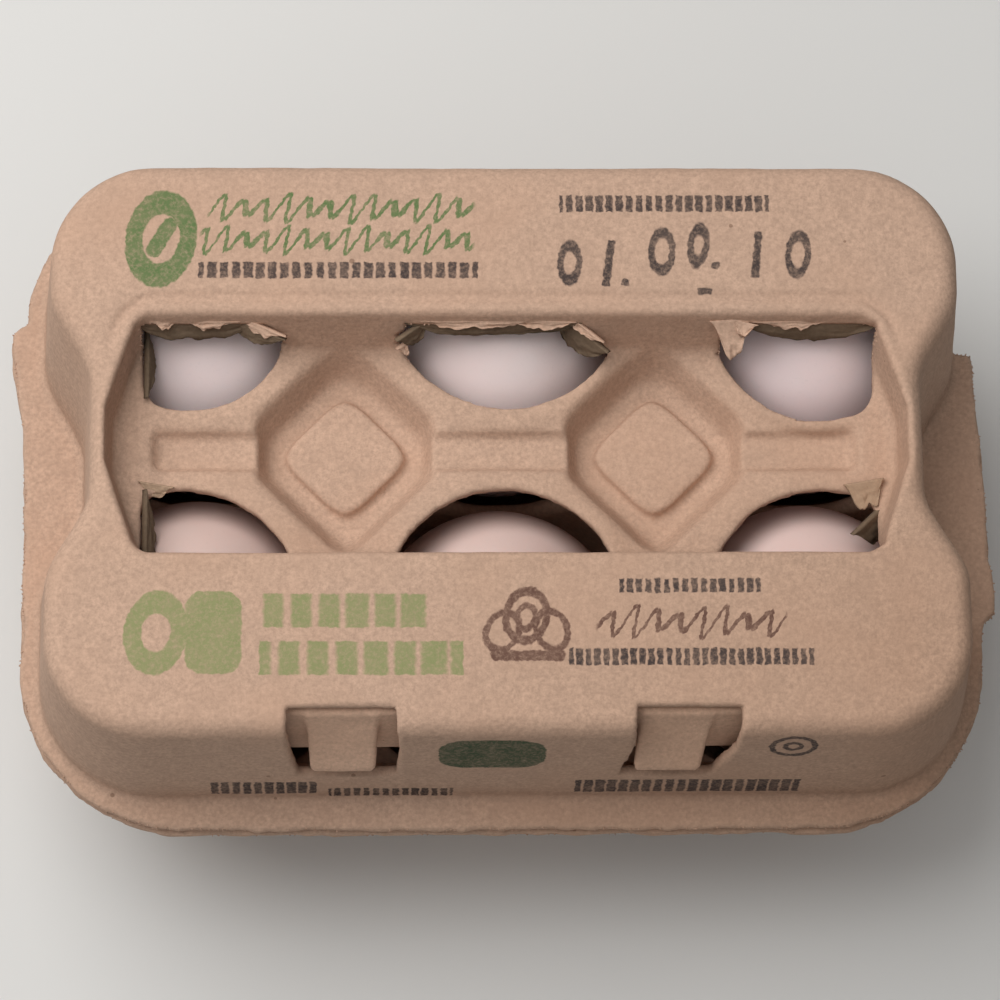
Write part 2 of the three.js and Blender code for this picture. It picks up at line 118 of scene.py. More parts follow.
# The closure slots: how far back they cut, the sill, and their two sides by height.
SLOT_BACK_Y = -41.3
SLOT_SILL = RIM_TOP + 10.0
SLOT_HEIGHTS = [SLOT_SILL, RIM_TOP + 21.0, LID_TOP]
SLOTS = [([-32.0, -33.3, -33.8], [-17.0, -16.6, -17.2]), ([17.1, 18.7, 18.9], [30.9, 34.2, 34.8])]
# The closure flap: its outer face's foot and head (along Y, height), thickness, half width, share
# of the height where its shoulders start, and the holes beside the tabs.
FLAP_FOOT = (-46.2, LID_RIM_Z)
FLAP_HEAD = (-41.9, RIM_TOP + 27.3)
FLAP_THICK = 1.6
FLAP_HALF = 52.0
FLAP_SHOULDER = 0.62
FLAP_HOLES = [(-34.6, -16.2), (16.4, 35.2)]
FLAP_HOLE_Z = (RIM_TOP + 4.5, RIM_TOP + 13.8)
# Webs left in the rear windows' upper corners: corner, way in, length, lowest height over the rim.
WEBS = [(-33.6, -1, 11.0, 21.5), (-15.6, 1, 2.6, 25.0), (15.4, -1, 8.5, 18.5), (33.2, 1, 4.5, 20.5)]
# How far the seats stand to the left and to the rear of the posts.
SEAT_SHIFT = (0.8, 0.5)
SCRAP_THICK = 0.9
# Swell in metres, tears for each metre of width, and the tints of the pulp's colour. The olive and the
# darkest tints are painted shade: the scraps that carry them stand for torn pulp in the shadow inside the
# windows.
SCRAP_SWELL = 0.0022
TEARS_PER_METRE = 420.0
SCRAP_TINTS = {"pale": (1.06, 1.06, 1.06), "olive": (0.80, 0.83, 0.78), "core": (0.33, 0.35, 0.32)}
# Torn flaps: tint, root, turn about the upright, lean outwards from hanging, length, width,
# curl outwards (turn, lean and curl in degrees), taper and raggedness.
# The darkest scraps hang under the rear windows' heads and at the windows' ends, and the olive ones at the
# front windows' corners. Their dark tints paint the shade they hang in.
SCRAPS = [
    ("core", (-48.2, 20.7, 65.7), 0, 34, 4.2, 19.0, -10, 0.05, 0.2),
    ("core", (-38.6, 19.8, 65.2), -24, 36, 3.2, 10.5, -10, 0.2, 0.25),
    ("pale", (-52.6, 20.6, 66.0), 4, 46, 1.9, 5.2, 30, 0.4, 0.6),
    ("pale", (-45.6, 20.6, 66.0), -2, 44, 1.7, 9.5, 30, 0.3, 0.7),
    ("pale", (-37.6, 19.8, 65.7), -25, 42, 1.8, 8.5, 30, 0.3, 0.5),
    ("core", (-55.5, 15.4, 60.0), 90, 30, 3.0, 11.0, -8, 0.25, 0.35),
    ("core", (-1.8, 20.6, 65.7), 0, 32, 3.1, 29.0, -10, 0.05, 0.25),
    ("core", (12.0, 19.6, 64.6), -44, 28, 5.2, 11.0, -10, 0.1, 0.25),
    ("core", (-14.6, 19.4, 64.9), 36, 30, 3.2, 6.0, 2, 0.2, 0.3),
    ("pale", (-5.0, 20.6, 66.1), 0, 44, 1.6, 18.0, 30, 0.15, 0.7),
    ("pale", (5.5, 20.6, 66.1), -3, 48, 1.8, 11.0, 30, 0.2, 0.7),
    ("pale", (12.2, 19.6, 65.6), -40, 42, 1.6, 8.0, 30, 0.3, 0.6),
    ("pale", (-16.0, 17.6, 62.9), 35, 40, 2.0, 2.2, 40, 0.4, 0.4),
    ("core", (47.2, 20.7, 65.7), 0, 33, 4.1, 22.5, -10, 0.05, 0.2),
    ("pale", (44.6, 20.6, 66.0), 2, 46, 1.7, 13.0, 30, 0.3, 0.7),
    ("pale", (34.8, 20.7, 66.3), 6, 54, 6.4, 6.8, 16, 0.35, 0.2),
    ("pale", (37.0, 20.2, 66.2), -14, 60, 2.6, 4.2, 50, 0.3, 0.4),
    ("core", (-55.5, -11.8, 60.0), 90, 30, 3.2, 14.0, -8, 0.2, 0.35),
    ("olive", (-53.8, -3.7, 59.1), -10, 60, 2.4, 5.6, 10, 0.3, 0.5),
    ("olive", (55.2, -3.6, 59.8), 10, 70, 4.9, 6.4, 26, 0.2, 0.5),
    ("core", (56.4, -8.8, 58.9), 44, 44, 6.0, 9.0, -14, 0.2, 0.35),
]
# Each tab's sides at its root and at its tip. Then the tip's place along Y and height, half the
# thickness, and how far the tab bows out on its way down.
TABS = [((-30.9, -19.7), (-30.2, -20.2)), ((19.7, 30.9), (19.0, 29.2))]
TAB_TIP = (-49.4, SLOT_SILL + 3.4)
TAB_HALF_THICK = 0.85
TAB_BEND = 0.72
# The eggs, front row then rear row: the top's lean along X and Y, tint, length and breadth. The front row's
# darker, warmer tints are painted shade, for the shade and the pulp-warmed light the eggs get under the
# windows' arches.
EGG_LEANS = [(0.4, 0.0), (-1.5, -1.4), (-1.4, -0.4), (1.2, 0.5), (-0.6, 0.1), (0.9, -0.1)]
EGG_TINTS_AND_SHADE = [
    (0.76, 0.66, 0.60), (0.81, 0.71, 0.65), (0.84, 0.74, 0.69),
    (1.0, 1.0, 1.0), (0.98, 0.98, 0.97), (0.98, 0.96, 0.97),
]
EGG_SIZES = [(57.8, 42.4), (56.9, 41.2), (57.2, 41.4), (57.0, 41.6), (58.2, 42.4), (57.6, 41.8)]
# Tints of the pulp's colour: lighter on the flap, a painted light that brightens its tabs, and darker
# towards the front right, a painted shade for the light falling off there.
FLAP_LIGHT_TINT = (1.20, 1.19, 1.18)
FALLOFF_SHADE_TINT = (0.86, 0.82, 0.78)
# How far the ink strays, in metres, and how deep in the wall it is looked for, in millimetres.
INK_WOBBLE = 0.0007
INK_DEPTH = 0.9

# ---------------------------------------------------------------- stage, in metres and degrees
FLOOR_HALF = 3.0
HAZE_TINT = (1.0, 0.985, 0.97, 1.0)
LIGHT_TINT = (1.0, 0.985, 0.965)
LIGHT_AIM = (0, 0, 0.05)
SOFTBOX = (0.6, (-0.26, 0.15, 0.54))
OVERHEAD_SHEET = (2.0, (-0.1, -0.1, 0.8))
# The camera's height over the horizon, turn and roll.
CAMERA_ANGLES = (72.8, 7.07, 6.68)
CAMERA_AIM = (-0.0002, 0.0, 0.0385)
CAMERA_DISTANCE = 0.6795
CAMERA_LENS = 153.9
CAMERA_SENSOR = 36.0
CAMERA_CLIP = (0.05, 20.0)


# ---------------------------------------------------------------- settings
def colour_property(name, description, default):
    return FloatVectorProperty(
        name=name, description=description, subtype="COLOR", size=3, min=0, max=1, default=default,
    )


def number_property(name, description, default, low, high, **kind):
    return FloatProperty(name=name, description=description, default=default, min=low, max=high, **kind)


class PulpSettings(bpy.types.PropertyGroup):
    colour: colour_property("Pulp colour", "Main tone of the moulded pulp", (0.52, 0.350, 0.258))
    fleck_colour: colour_property(
        "Fleck colour", "Tone of the dark flecks in the pulp", (0.16, 0.085, 0.05),
    )
    thickness: number_property("Wall thickness", "Thickness of the pulp, in millimetres", 1.8, 1.0, 3.0)
    unevenness: number_property(
        "Unevenness", "Height of the soft waves in the pulp's surface, in millimetres", 0.16, 0.0, 0.6,
    )
    tear: number_property(
        "Edge tear", "How far the rims' edges are eaten back, in millimetres", 1.0, 0.0, 3.0,
    )
    seed: IntProperty(
        name="Seed", description="Draw of the pulp's unevenness, tears and fibres", default=4, min=0,
    )


class PrintSettings(bpy.types.PropertyGroup):
    green: colour_property("Green ink", "Colour of the green fields", (0.10, 0.17, 0.06))
    pale_green: colour_property("Pale green ink", "Colour of the pale green fields", (0.25, 0.27, 0.12))
    deep_green: colour_property(
        "Deep green ink", "Colour of the front wall's dark green field", (0.035, 0.07, 0.035),
    )
    dark: colour_property("Dark ink", "Colour of the dark marks", (0.045, 0.035, 0.035))
    brown: colour_property("Brown ink", "Colour of the brown marks", (0.12, 0.06, 0.045))
    wear: number_property(
        "Wear", "Share of the ink that the pulp's grain breaks up", 0.3, 0.0, 1.0, subtype="FACTOR",
    )


class EggSettings(bpy.types.PropertyGroup):
    widest: number_property(
        "Widest height", "Height of the widest section, as a share of the length", 0.55, 0.5, 0.65,
        subtype="FACTOR",
    )
    colour: colour_property("Shell colour", "Tone of the shells", (0.90, 0.78, 0.78))


class StageSettings(bpy.types.PropertyGroup):
    key: number_property(
        "Key light", "Power of the overhead softbox", 3.0, 0.0, 100.0, subtype="POWER", unit="POWER",
    )
    fill: number_property(
        "Fill light", "Power of the wide sheet of light overhead", 6.4, 0.0, 100.0,
        subtype="POWER", unit="POWER",
    )
    haze: number_property("Haze", "Strength of the even light from all round", 0.02, 0.0, 10.0)
    floor: colour_property("Floor colour", "Tone of the floor", (0.70, 0.70, 0.69))


class CartonSettings(bpy.types.PropertyGroup):
    pulp: PointerProperty(type=PulpSettings, name="Pulp", description="The moulded pulp")
    ink: PointerProperty(type=PrintSettings, name="Print", description="The print on the lid")
    egg: PointerProperty(type=EggSettings, name="Eggs", description="The eggs")
    stage: PointerProperty(type=StageSettings, name="Stage", description="Floor, lights and camera")


def settings():
    return bpy.context.scene.egg_carton


# ---------------------------------------------------------------- distance fields
# A field is negative inside its form and grows by about one for each millimetre outwards.
def both(a, b, radius):
    """Where two fields meet, with the edge rounded."""
    corner = np.hypot(np.maximum(a + radius, 0), np.maximum(b + radius, 0))
    return np.minimum(-radius, np.maximum(a, b)) + corner


def either(a, b, radius):
    """Two fields joined, with a fillet in the corner."""
    corner = np.hypot(np.maximum(radius - a, 0), np.maximum(radius - b, 0))
    return np.maximum(radius, np.minimum(a, b)) - corner


def larger(a, b, blend):
    """The larger of two values, blended smoothly where they are close."""
    share = np.maximum(blend - np.abs(a - b), 0) / blend
    return np.maximum(a, b) + share * share * blend / 4


def step(value):
    value = np.clip(value, 0, 1)
    return value * value * (3 - 2 * value)


def mix(a, b, share):
    return a + (b - a) * share


def waves(x, y, z, size, seed):
    """Smooth noise from -1 to 1 whose features are about that many millimetres across."""
    table = np.random.default_rng(seed).uniform(-1, 1, (32, 32, 32)).astype(np.float32)
    cells, parts = [], []
    for value, shift in ((x, 11.3), (y, 47.9), (z, 83.7)):
        scaled = np.asarray(value, np.float32) / size + shift
        cell = np.floor(scaled)
        cells.append(cell.astype(np.int64))
        parts.append(step(scaled - cell))
    total = 0
    for corner in np.ndindex(2, 2, 2):
        weight = 1
        for side, part in zip(corner, parts):
            weight = weight * (part if side else 1 - part)
        total = total + weight * table[tuple((cell + side) & 31 for cell, side in zip(cells, corner))]
    return total


def near_column(x):
    """Distance along the carton to the nearest column of cells."""
    return x - PITCH * np.clip(np.round(x / PITCH), -1, 1)


# ---------------------------------------------------------------- rims
def arc(cx, cy, radius, start, end, steps=18):
    angles = np.radians(np.linspace(start, end, steps))
    return [(cx + radius * math.cos(a), cy + radius * math.sin(a)) for a in angles]


def rim_outline():
    """The flanges' outline, anticlockwise, with its torn sides and its broken rear right corner."""
    half_x, half_y = RIM_HALF
    front, rear = RIM_RADII
    points = arc(half_x - front, front - half_y, front, -90, 0)
    points += [(half_x + beyond, y) for beyond, y in
               ((0, -24), (0.5, -20.5), (2.4, -18.8), (2.4, -13.5), (1.8, -9), (1.6, 8.5), (0.8, 20))]
    points += [(half_x + 0.4, 25.0)]
    points += arc(54.2, 29.9, 19.9, -14, 70)
    points += [(48.0, half_y)]
    points += arc(rear - half_x, half_y - rear, rear, 90, 180)
    points += [(-half_x - beyond, y) for beyond, y in ((2.4, 28), (2.4, 24), (0.3, 12), (0, -8))]
    points += arc(front - half_x, front - half_y, front, 180, 270)
    return np.array(points)


OUTLINE = rim_outline()


def outline_distance(x, y):
    """Distance to the rims' outline in plan, negative inside."""
    x, y = np.broadcast_arrays(np.asarray(x, float), np.asarray(y, float))
    best = np.full(x.shape, 1e9)
    inside = np.zeros(x.shape, bool)
    for (ax, ay), (bx, by) in zip(OUTLINE, np.roll(OUTLINE, -1, axis=0)):
        dx, dy = bx - ax, by - ay
        length = dx * dx + dy * dy
        if length < 1e-9:
            continue
        along = np.clip(((x - ax) * dx + (y - ay) * dy) / length, 0, 1)
        best = np.minimum(best, (x - ax - along * dx) ** 2 + (y - ay - along * dy) ** 2)
        crosses = (ay > y) != (by > y)
        if dy:
            inside ^= crosses & (x < ax + (y - ay) * dx / dy)
    return np.where(inside, -1, 1) * np.sqrt(best)


def torn_rim(x, y, z, inset, seed):
    """The outline eaten back unevenly, as a torn pulp edge is."""
    tear = settings().pulp.tear
    coarse = waves(x, y, 0 * x, 7.0, seed)
    fine = waves(x, y, z * 0.6, 2.0, seed + 1)
    bite = tear * (0.42 + 0.36 * coarse + 0.22 * fine)
    return outline_distance(x, y) + inset + np.maximum(bite, 0)


# ---------------------------------------------------------------- lid
def lid_wall(x, y, rise):
    """The lid's outer wall: a rounded rectangle whose ends are pinched in at the centre-line."""
    t = np.clip(rise / LID_RISE, -0.2, 1.1)
    front, rear = mix(*LID_FRONT, t), mix(*LID_REAR, t)
    corner = mix(*LID_CORNER, t)
    flat, end = mix(*PINCH_WHOLE, t), mix(*PINCH_GONE, t)
    share = np.clip((np.abs(y - CENTRE_Y) - flat) / (end - flat), 0, 1)
    pinch = PINCH * (1 - step(share))
    slope = PINCH * 6 * share * (1 - share) / (end - flat)
    across = np.abs(x) - (mix(*LID_END, t) - pinch) + corner
    along = np.abs(y - (front + rear) / 2) - (rear - front) / 2 + corner
    outer = np.hypot(np.maximum(across, 0), np.maximum(along, 0))
    return (outer + np.minimum(np.maximum(across, along), 0) - corner) / np.sqrt(1 + slope * slope)


def trough_end(v):
    """Where the sunk middle ends along the carton, at a distance from the centre-line."""
    return TROUGH_END - END_TAPER * np.maximum(v - END_FLAT, 0)


def trough_floor(x, y):
    """Depth of the sunk floor below the top panel: the land, the channel and the two seats."""
    v = np.abs(y - CENTRE_Y)
    egg = np.hypot(near_column(x), v - ROW)
    land = LAND_DEPTH - DOME_RISE * step((DOME_REACH - egg) / 6.0)
    land = land + CHANNEL_DEPTH * step((CHANNEL_HALF - v) / 1.7) * step((CHANNEL_END - np.abs(x)) / 2.4)
    ring = (np.hypot(x - RING_X, y - CENTRE_Y - RING_V) - RING_RADIUS) / 0.7
    land = land + RING_DEPTH * np.exp(-ring * ring)
    land = land - END_RISE * step((np.abs(x) - trough_end(v) + 9.0) / 7.0)
    ridge = (np.abs(x) - RIDGE_END + 0.38 * np.maximum(v - 4.5, 0) ** 2) / 0.9
    land = land - RIDGE_RISE * np.exp(-ridge * ridge) * step((9.0 - v) / 2.0)
    dx, v = np.abs(np.abs(x + SEAT_SHIFT[0]) - PITCH / 2), np.abs(y - CENTRE_Y - SEAT_SHIFT[1])
    level = larger((dx + v - SEAT_CORNERS) / 4.2, (dx - SEAT_HALVES[0]) / 2.4, 0.5)
    level = larger(level, (v - SEAT_HALVES[1]) / 4.6, 0.5)
    incline = -larger(-larger(level, 0 * level, 0.3), -1.0 + 0 * level, 0.3)
    seat = SEAT_DEPTH - SEAT_RISE * incline
    edge = larger(dx + v - PAD_CORNERS, dx - PAD_HALF, 2.2)
    edge = larger(edge, v - PAD_HALF, 2.2)
    pad = PAD_RISE * (1 - step(edge * 0.9 + 0.5)) - 0.3 * np.exp(-((edge - 0.9) / 0.5) ** 2)
    return larger(land, seat - pad, 1.0)


def lid_skin(x, y, z):
    """The outer face of the lid, with its sunk middle."""
    rise = z - RIM_TOP
    depth = LID_TOP - z
    v = np.abs(y - CENTRE_Y)
    head = trough_end(v)
    lean = np.where(y > CENTRE_Y, TROUGH_LEAN_REAR, TROUGH_LEAN_FRONT)
    edge = both(v - TROUGH_HALF, np.abs(x) - head, 2.0)
    groove = np.exp(-(((edge - 2.6) / 0.8) ** 2)) * mix(0.05, 0.65, step((y - 14.0) / 6.0))
    body = both(lid_wall(x, y, rise), rise - LID_RISE + groove, 3.0)
    sides = both(v - TROUGH_HALF + lean * depth, np.abs(x) - head + TROUGH_LEAN_END * depth, 2.0)
    floor = trough_floor(x, y)
    e = 0.25
    slope_x = (trough_floor(x + e, y) - trough_floor(x - e, y)) / (2 * e)
    slope_y = (trough_floor(x, y + e) - trough_floor(x, y - e)) / (2 * e)
    sunk = both(sides, (depth - floor) / np.sqrt(1 + slope_x**2 + slope_y**2), 1.6)
    return both(body, -sunk, 0.9)


def window_holes(x, y, z, seed):
    """The six windows, with fibrous rims. Under its head each is open to behind the trough's wall."""
    v = np.abs(y - CENTRE_Y)
    front = y < CENTRE_Y
    rag = 0.12 * waves(x, y, z, 1.3, seed) + 0.14 * waves(x, y, z, 4.0, seed + 1)
    round_part = 99.0
    for column in range(3):
        (front_x, front_v, front_r), (rear_x, rear_v, rear_r) = WINDOWS[0][column], WINDOWS[1][column]
        across = x - np.where(front, front_x, rear_x)
        reach = np.hypot(across, v - np.where(front, front_v, rear_v))
        round_part = np.minimum(round_part, (reach - np.where(front, front_r, rear_r)) * 0.98)
    hole = both(round_part, np.maximum(WINDOW_ENDS[0] - x, x - WINDOW_ENDS[1]), 2.4)
    head = mix(*WINDOW_HEADS, step((z - HEAD_TURN + rag) / 0.8))
    hole = both(hole, v - head, 0.5) + rag
    rest = (z - corner_height(x, v) + 3.0 * rag) * 0.6
    hole = np.where(front, hole, both(hole, rest, 1.0))
    return np.maximum(hole, RIM_TOP + 10 - z)


def corner_height(x, v):
    """Top of the rear windows' openings in the trough's wall: low at the corners, where webs are left."""
    height = 99.0
    for corner, inward, length, low in WEBS:
        along = np.clip((x - corner) * inward / length, 0, 1)
        near = np.abs(x - corner) < 15
        web = RIM_TOP + low + (31.0 - low) * along**0.6
        height = np.where(near, web, height)
    return height + 12 * step((16.4 - v) / 1.2)


def slot_holes(x, y, z, seed):
    """The two closure slots in the front wall, open to the top panel."""
    rag = 0.15 * waves(x, y, z, 1.5, seed)
    holes = []
    for lefts, rights in SLOTS:
        left, right = np.interp(z, SLOT_HEIGHTS, lefts), np.interp(z, SLOT_HEIGHTS, rights)
        holes.append(both(np.maximum(left - x, x - right), SLOT_SILL - z, 1.2))
    return np.maximum(np.minimum(*holes), y - SLOT_BACK_Y) + rag


def lid_field(x, y, z):
    pulp = settings().pulp
    thick = pulp.thickness
    skin = lid_skin(x, y, z)
    skin = skin + pulp.unevenness * (0.5 + 0.5 * waves(x, y, z, 16.0, pulp.seed))
    skin = skin + 0.05 * (1 + waves(x, y, z, 3.0, pulp.seed + 1))
    wall = both(np.maximum(skin, -skin - thick), LID_RIM_Z - z, 0.3)
    plate = both(np.abs(z - LID_RIM_Z - thick / 2) - thick / 2, torn_rim(x, y, z, 0.3, pulp.seed + 2), 0.5)
    plate = np.maximum(plate, -skin - thick)
    solid = either(wall, plate, 1.3)
    solid = np.maximum(solid, LID_RIM_Z - z)
    solid = both(solid, -window_holes(x, y, z, pulp.seed + 4), 0.35)
    return both(solid, -slot_holes(x, y, z, pulp.seed + 6), 0.35)


# ---------------------------------------------------------------- tray
def saddle_height(along):
    return SADDLE_LOW + SADDLE_RISE * np.clip((along - 3.0) / 10.5, 0, 1) ** 1.5


def tray_field(x, y, z):
    pulp = settings().pulp
    v = np.abs(y - CENTRE_Y)
    dx, dv = np.abs(near_column(x)), np.abs(v - ROW)
    power = np.interp(z, CUP_HEIGHTS, CUP_SQUARENESS)
    reach = (np.maximum(dx, 1e-3) ** power + np.maximum(dv, 1e-3) ** power) ** (1 / power)
    cup = (reach - np.interp(z, CUP_HEIGHTS, CUP_HALVES)) * 0.94
    air = both(cup, CUP_FLOOR - z, 2.5)
    air = either(DECK_TOP - z + 0 * air, air, 1.6)
    post_x = np.abs(np.abs(x) - PITCH / 2)
    between_columns = both((saddle_height(dv) - z) * 0.6, post_x - SADDLE_HALF, 1.5)
    between_rows = both((saddle_height(dx) - z) * 0.6, v - SADDLE_HALF, 1.5)
    air = either(air, np.where(v < 40, between_columns, 9.0), 1.2)
    air = either(air, np.where(np.abs(x) < 64, between_rows, 9.0), 1.2)
    post = (post_x + v - np.interp(z, POST_HEIGHTS, POST_SIZES)) * 0.7
    cut = np.interp(z, POST_HEIGHTS, POST_CUTS)
    post = larger(larger(post, post_x - cut, 1.2), v - cut, 1.2)
    post = both(post, z - POST_TOP, 1.2)
    air = both(air, -post, 1.6)
    thick = pulp.thickness + 0.7 * step((z - 21.0) / 5.0) * step((4.0 - np.minimum(post_x, v)) / 2.0)
    thick = thick + 0.2 * step((5.0 - z) / 2.0)
    air = air + pulp.unevenness * 0.6 * (waves(x, y, z, 12.0, pulp.seed + 8) - 1)
    solid = both(-air, air - thick, 0.3)
    solid = both(solid, torn_rim(x, y, z, 0.0, pulp.seed + 9), 0.5)
    return np.maximum(solid, -z)


# ---------------------------------------------------------------- closure flap
def flap_field(x, y, z):
    pulp = settings().pulp
    rise = FLAP_HEAD[1] - FLAP_FOOT[1]
    share = (z - FLAP_FOOT[1]) / rise
    face = mix(FLAP_FOOT[0], FLAP_HEAD[0], share)
    sheet = np.abs(y - face - FLAP_THICK / 2) - FLAP_THICK / 2 + 0.05
    half = FLAP_HALF - 72.0 * np.maximum(share - FLAP_SHOULDER, 0) ** 2
    outline = both(np.abs(x) - half, z - FLAP_HEAD[1], 4.0)
    outline = np.maximum(outline, FLAP_FOOT[1] - z)
    panel = both(sheet, outline, 0.5)
    low, high = FLAP_HOLE_Z
    for left, right in FLAP_HOLES:
        hole = both(np.maximum(left - x, x - right), np.maximum(low - z, z - high), 1.0)
        panel = both(panel, -hole, 0.4)
    solid = panel
    t = np.clip((z - TAB_TIP[1]) / (FLAP_HEAD[1] - TAB_TIP[1]), 0, 1)
    outer = mix(TAB_TIP[0] + 0.15, FLAP_HEAD[0], t**TAB_BEND)
    for top, bottom in TABS:
        left, right = mix(bottom[0], top[0], t), mix(bottom[1], top[1], t)
        slab = (np.abs(y - outer - TAB_HALF_THICK) - TAB_HALF_THICK) * 0.85
        tongue = both(slab, np.maximum(left - x, x - right), 0.6)
        tongue = both(tongue, TAB_TIP[1] + 0.1 - z, 2.2)
        tongue = both(tongue, z - FLAP_HEAD[1], 0.4)
        solid = either(solid, tongue, 0.8)
    return solid + 0.04 * (1 + waves(x, y, z, 2.5, pulp.seed + 12))


# ---------------------------------------------------------------- meshes from fields
EDGE_CORNERS = [(axis, first, second) for axis in range(3) for first in (0, 1) for second in (0, 1)]


def surface_of(field, low, high, spacing):
    """Vertices in millimetres and outward quads of the surface where the field is zero."""
    axes = [np.arange(a, b + spacing, spacing, dtype=np.float32) for a, b in zip(low, high)]
    grid = [axes[0][:, None, None], axes[1][None, :, None], axes[2][None, None, :]]
    value = np.asarray(field(*grid), np.float32)
    inside = value < 0
    counts = sum(
        inside[tuple(slice(i, size - 1 + i) for i, size in zip(corner, inside.shape))].astype(np.int8)
        for corner in np.ndindex(2, 2, 2)
    )
    cells = np.argwhere((counts > 0) & (counts < 8))
    total = np.zeros((len(cells), 3))
    hits = np.zeros(len(cells))
    for axis, first, second in EDGE_CORNERS:
        a = cells.copy()
        a[:, (axis + 1) % 3] += first
        a[:, (axis + 2) % 3] += second
        b = a.copy()
        b[:, axis] += 1
        va, vb = value[tuple(a.T)], value[tuple(b.T)]
        crossed = (va < 0) != (vb < 0)
        share = np.where(crossed, va / np.where(crossed, va - vb, 1), 0)
        point = a.astype(float)
        point[:, axis] += share
        total[crossed] += point[crossed]
        hits[crossed] += 1
    places = total / hits[:, None] * spacing + np.array([axis[0] for axis in axes])
    number = np.full(counts.shape, -1, np.int64)
    number[tuple(cells.T)] = np.arange(len(cells))
    quads = []
    for axis in range(3):
        b_axis, c_axis = (axis + 1) % 3, (axis + 2) % 3
        here = [slice(None)] * 3
        there = [slice(None)] * 3
        here[axis], there[axis] = slice(0, -1), slice(1, None)
        change = inside[tuple(here)] != inside[tuple(there)]
        edges = np.argwhere(change)
        keep = (edges[:, b_axis] > 0) & (edges[:, c_axis] > 0)
        keep &= (edges[:, b_axis] < counts.shape[b_axis]) & (edges[:, c_axis] < counts.shape[c_axis])
        edges = edges[keep]
        corners = []
        for back_b, back_c in ((1, 1), (0, 1), (0, 0), (1, 0)):
            cell = edges.copy()
            cell[:, b_axis] -= back_b
            cell[:, c_axis] -= back_c
            corners.append(number[tuple(cell.T)])
        quad = np.stack(corners, axis=1)
        outward = inside[tuple(edges.T)]
        quads.append(np.where(outward[:, None], quad, quad[:, ::-1]))
    return draw_to_surface(field, places, spacing), np.concatenate(quads)


def draw_to_surface(field, places, spacing):
    """Moves each vertex along the field's slope onto its zero surface."""
    e = 0.06
    for _ in range(2):
        x, y, z = places.T
        here = field(x, y, z)
        slope = np.stack([
            field(x + e, y, z) - here,
            field(x, y + e, z) - here,
            field(x, y, z + e) - here,
        ], axis=1) / e
        size = np.maximum((slope**2).sum(axis=1), 0.25)
        move = np.clip(-0.8 * here / size, -0.3 * spacing, 0.3 * spacing)
        places = places + move[:, None] * slope
    return places


def mesh_of(name, places, faces):
    """A smooth-shaded mesh from vertices in millimetres and faces of equal size."""
    mesh = bpy.data.meshes.new(name)
    count, sides = faces.shape
    mesh.vertices.add(len(places))
    mesh.vertices.foreach_set("co", (places * MM).astype(np.float32).ravel())
    mesh.loops.add(count * sides)
    mesh.loops.foreach_set("vertex_index", faces.astype(np.int32).ravel())
    mesh.polygons.add(count)
    mesh.polygons.foreach_set("loop_start", np.arange(0, count * sides, sides, dtype=np.int32))
    mesh.polygons.foreach_set("use_smooth", np.ones(count, bool))
    mesh.update(calc_edges=True)
    mesh.validate()
    return mesh


def largest_shell(places, faces):
    """Drops loose crumbs: keeps the vertices and faces joined to the largest shell."""
    label = np.arange(len(places))
    while True:
        low = label[faces].min(axis=1)
        before = label.copy()
        for side in range(faces.shape[1]):
            np.minimum.at(label, faces[:, side], low)
        label = label[label]
        if (label == before).all():
            break
    names, sizes = np.unique(label, return_counts=True)
    keep = label == names[sizes.argmax()]
    faces = faces[keep[faces].all(axis=1)]
    number = np.cumsum(keep) - 1
    return places[keep], number[faces]


def add_object(name, mesh, material, body, slot, *nodes):
    """Puts a finished piece on its body, in place of the nodes that it stands for."""
    mesh.materials.clear()
    mesh.materials.append(material)
    obj = bpy.data.objects.new(name, mesh)
    bpy.context.scene.collection.objects.link(obj)
    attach(obj, body)
    if nodes:
        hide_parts(*nodes)
    return obj


def plain_copy(obj):
    """The object's evaluated mesh, with its modifiers' work in it. The object is removed."""
    bpy.context.view_layer.update()
    evaluated = obj.evaluated_get(bpy.context.evaluated_depsgraph_get())
    mesh = bpy.data.meshes.new_from_object(evaluated)
    bpy.data.objects.remove(obj)
    return mesh


def thinned(mesh, limit):
    """The mesh with at most that many triangles."""
    triangles = sum(len(p.vertices) - 2 for p in mesh.polygons)
    if triangles <= limit:
        return mesh
    obj = bpy.data.objects.new("thinning", mesh)
    bpy.context.scene.collection.objects.link(obj)
    modifier = obj.modifiers.new("Decimate", "DECIMATE")
    modifier.ratio = limit / triangles
    modifier.use_collapse_triangulate = True
    result = plain_copy(obj)
    result.polygons.foreach_set("use_smooth", np.ones(len(result.polygons), bool))
    return result


def moulded(name, field, low, high, spacing, limit=190000):
    """A piece's mesh from its field, within these corners, on a grid this fine, in millimetres."""
    places, faces = surface_of(field, low, high, spacing)
    places, faces = largest_shell(places, faces)
    return thinned(mesh_of(name, places, faces), limit)


# ---------------------------------------------------------------- node helpers
def node(tree, kind, *links, **values):
    """A node with these settings. Links are (input, value, socket or quantity)."""
    made = tree.nodes.new(kind)
    for key, value in values.items():
        setattr(made, key, value)
    for key, value in links:
        value = getattr(value, "socket", value)
        if isinstance(value, bpy.types.NodeSocket):
            tree.links.new(value, made.inputs[key])
        else:
            made.inputs[key].default_value = value
    return made


def worked(operation, a, b=None, clamp=False):
    """The quantity that a sum on one or two quantities gives."""
    tree = (a if isinstance(a, Quantity) else b).socket.id_data
    links = [(0, a)] if b is None else [(0, a), (1, b)]
    return Quantity(node(tree, "ShaderNodeMath", *links, operation=operation, use_clamp=clamp).outputs[0])


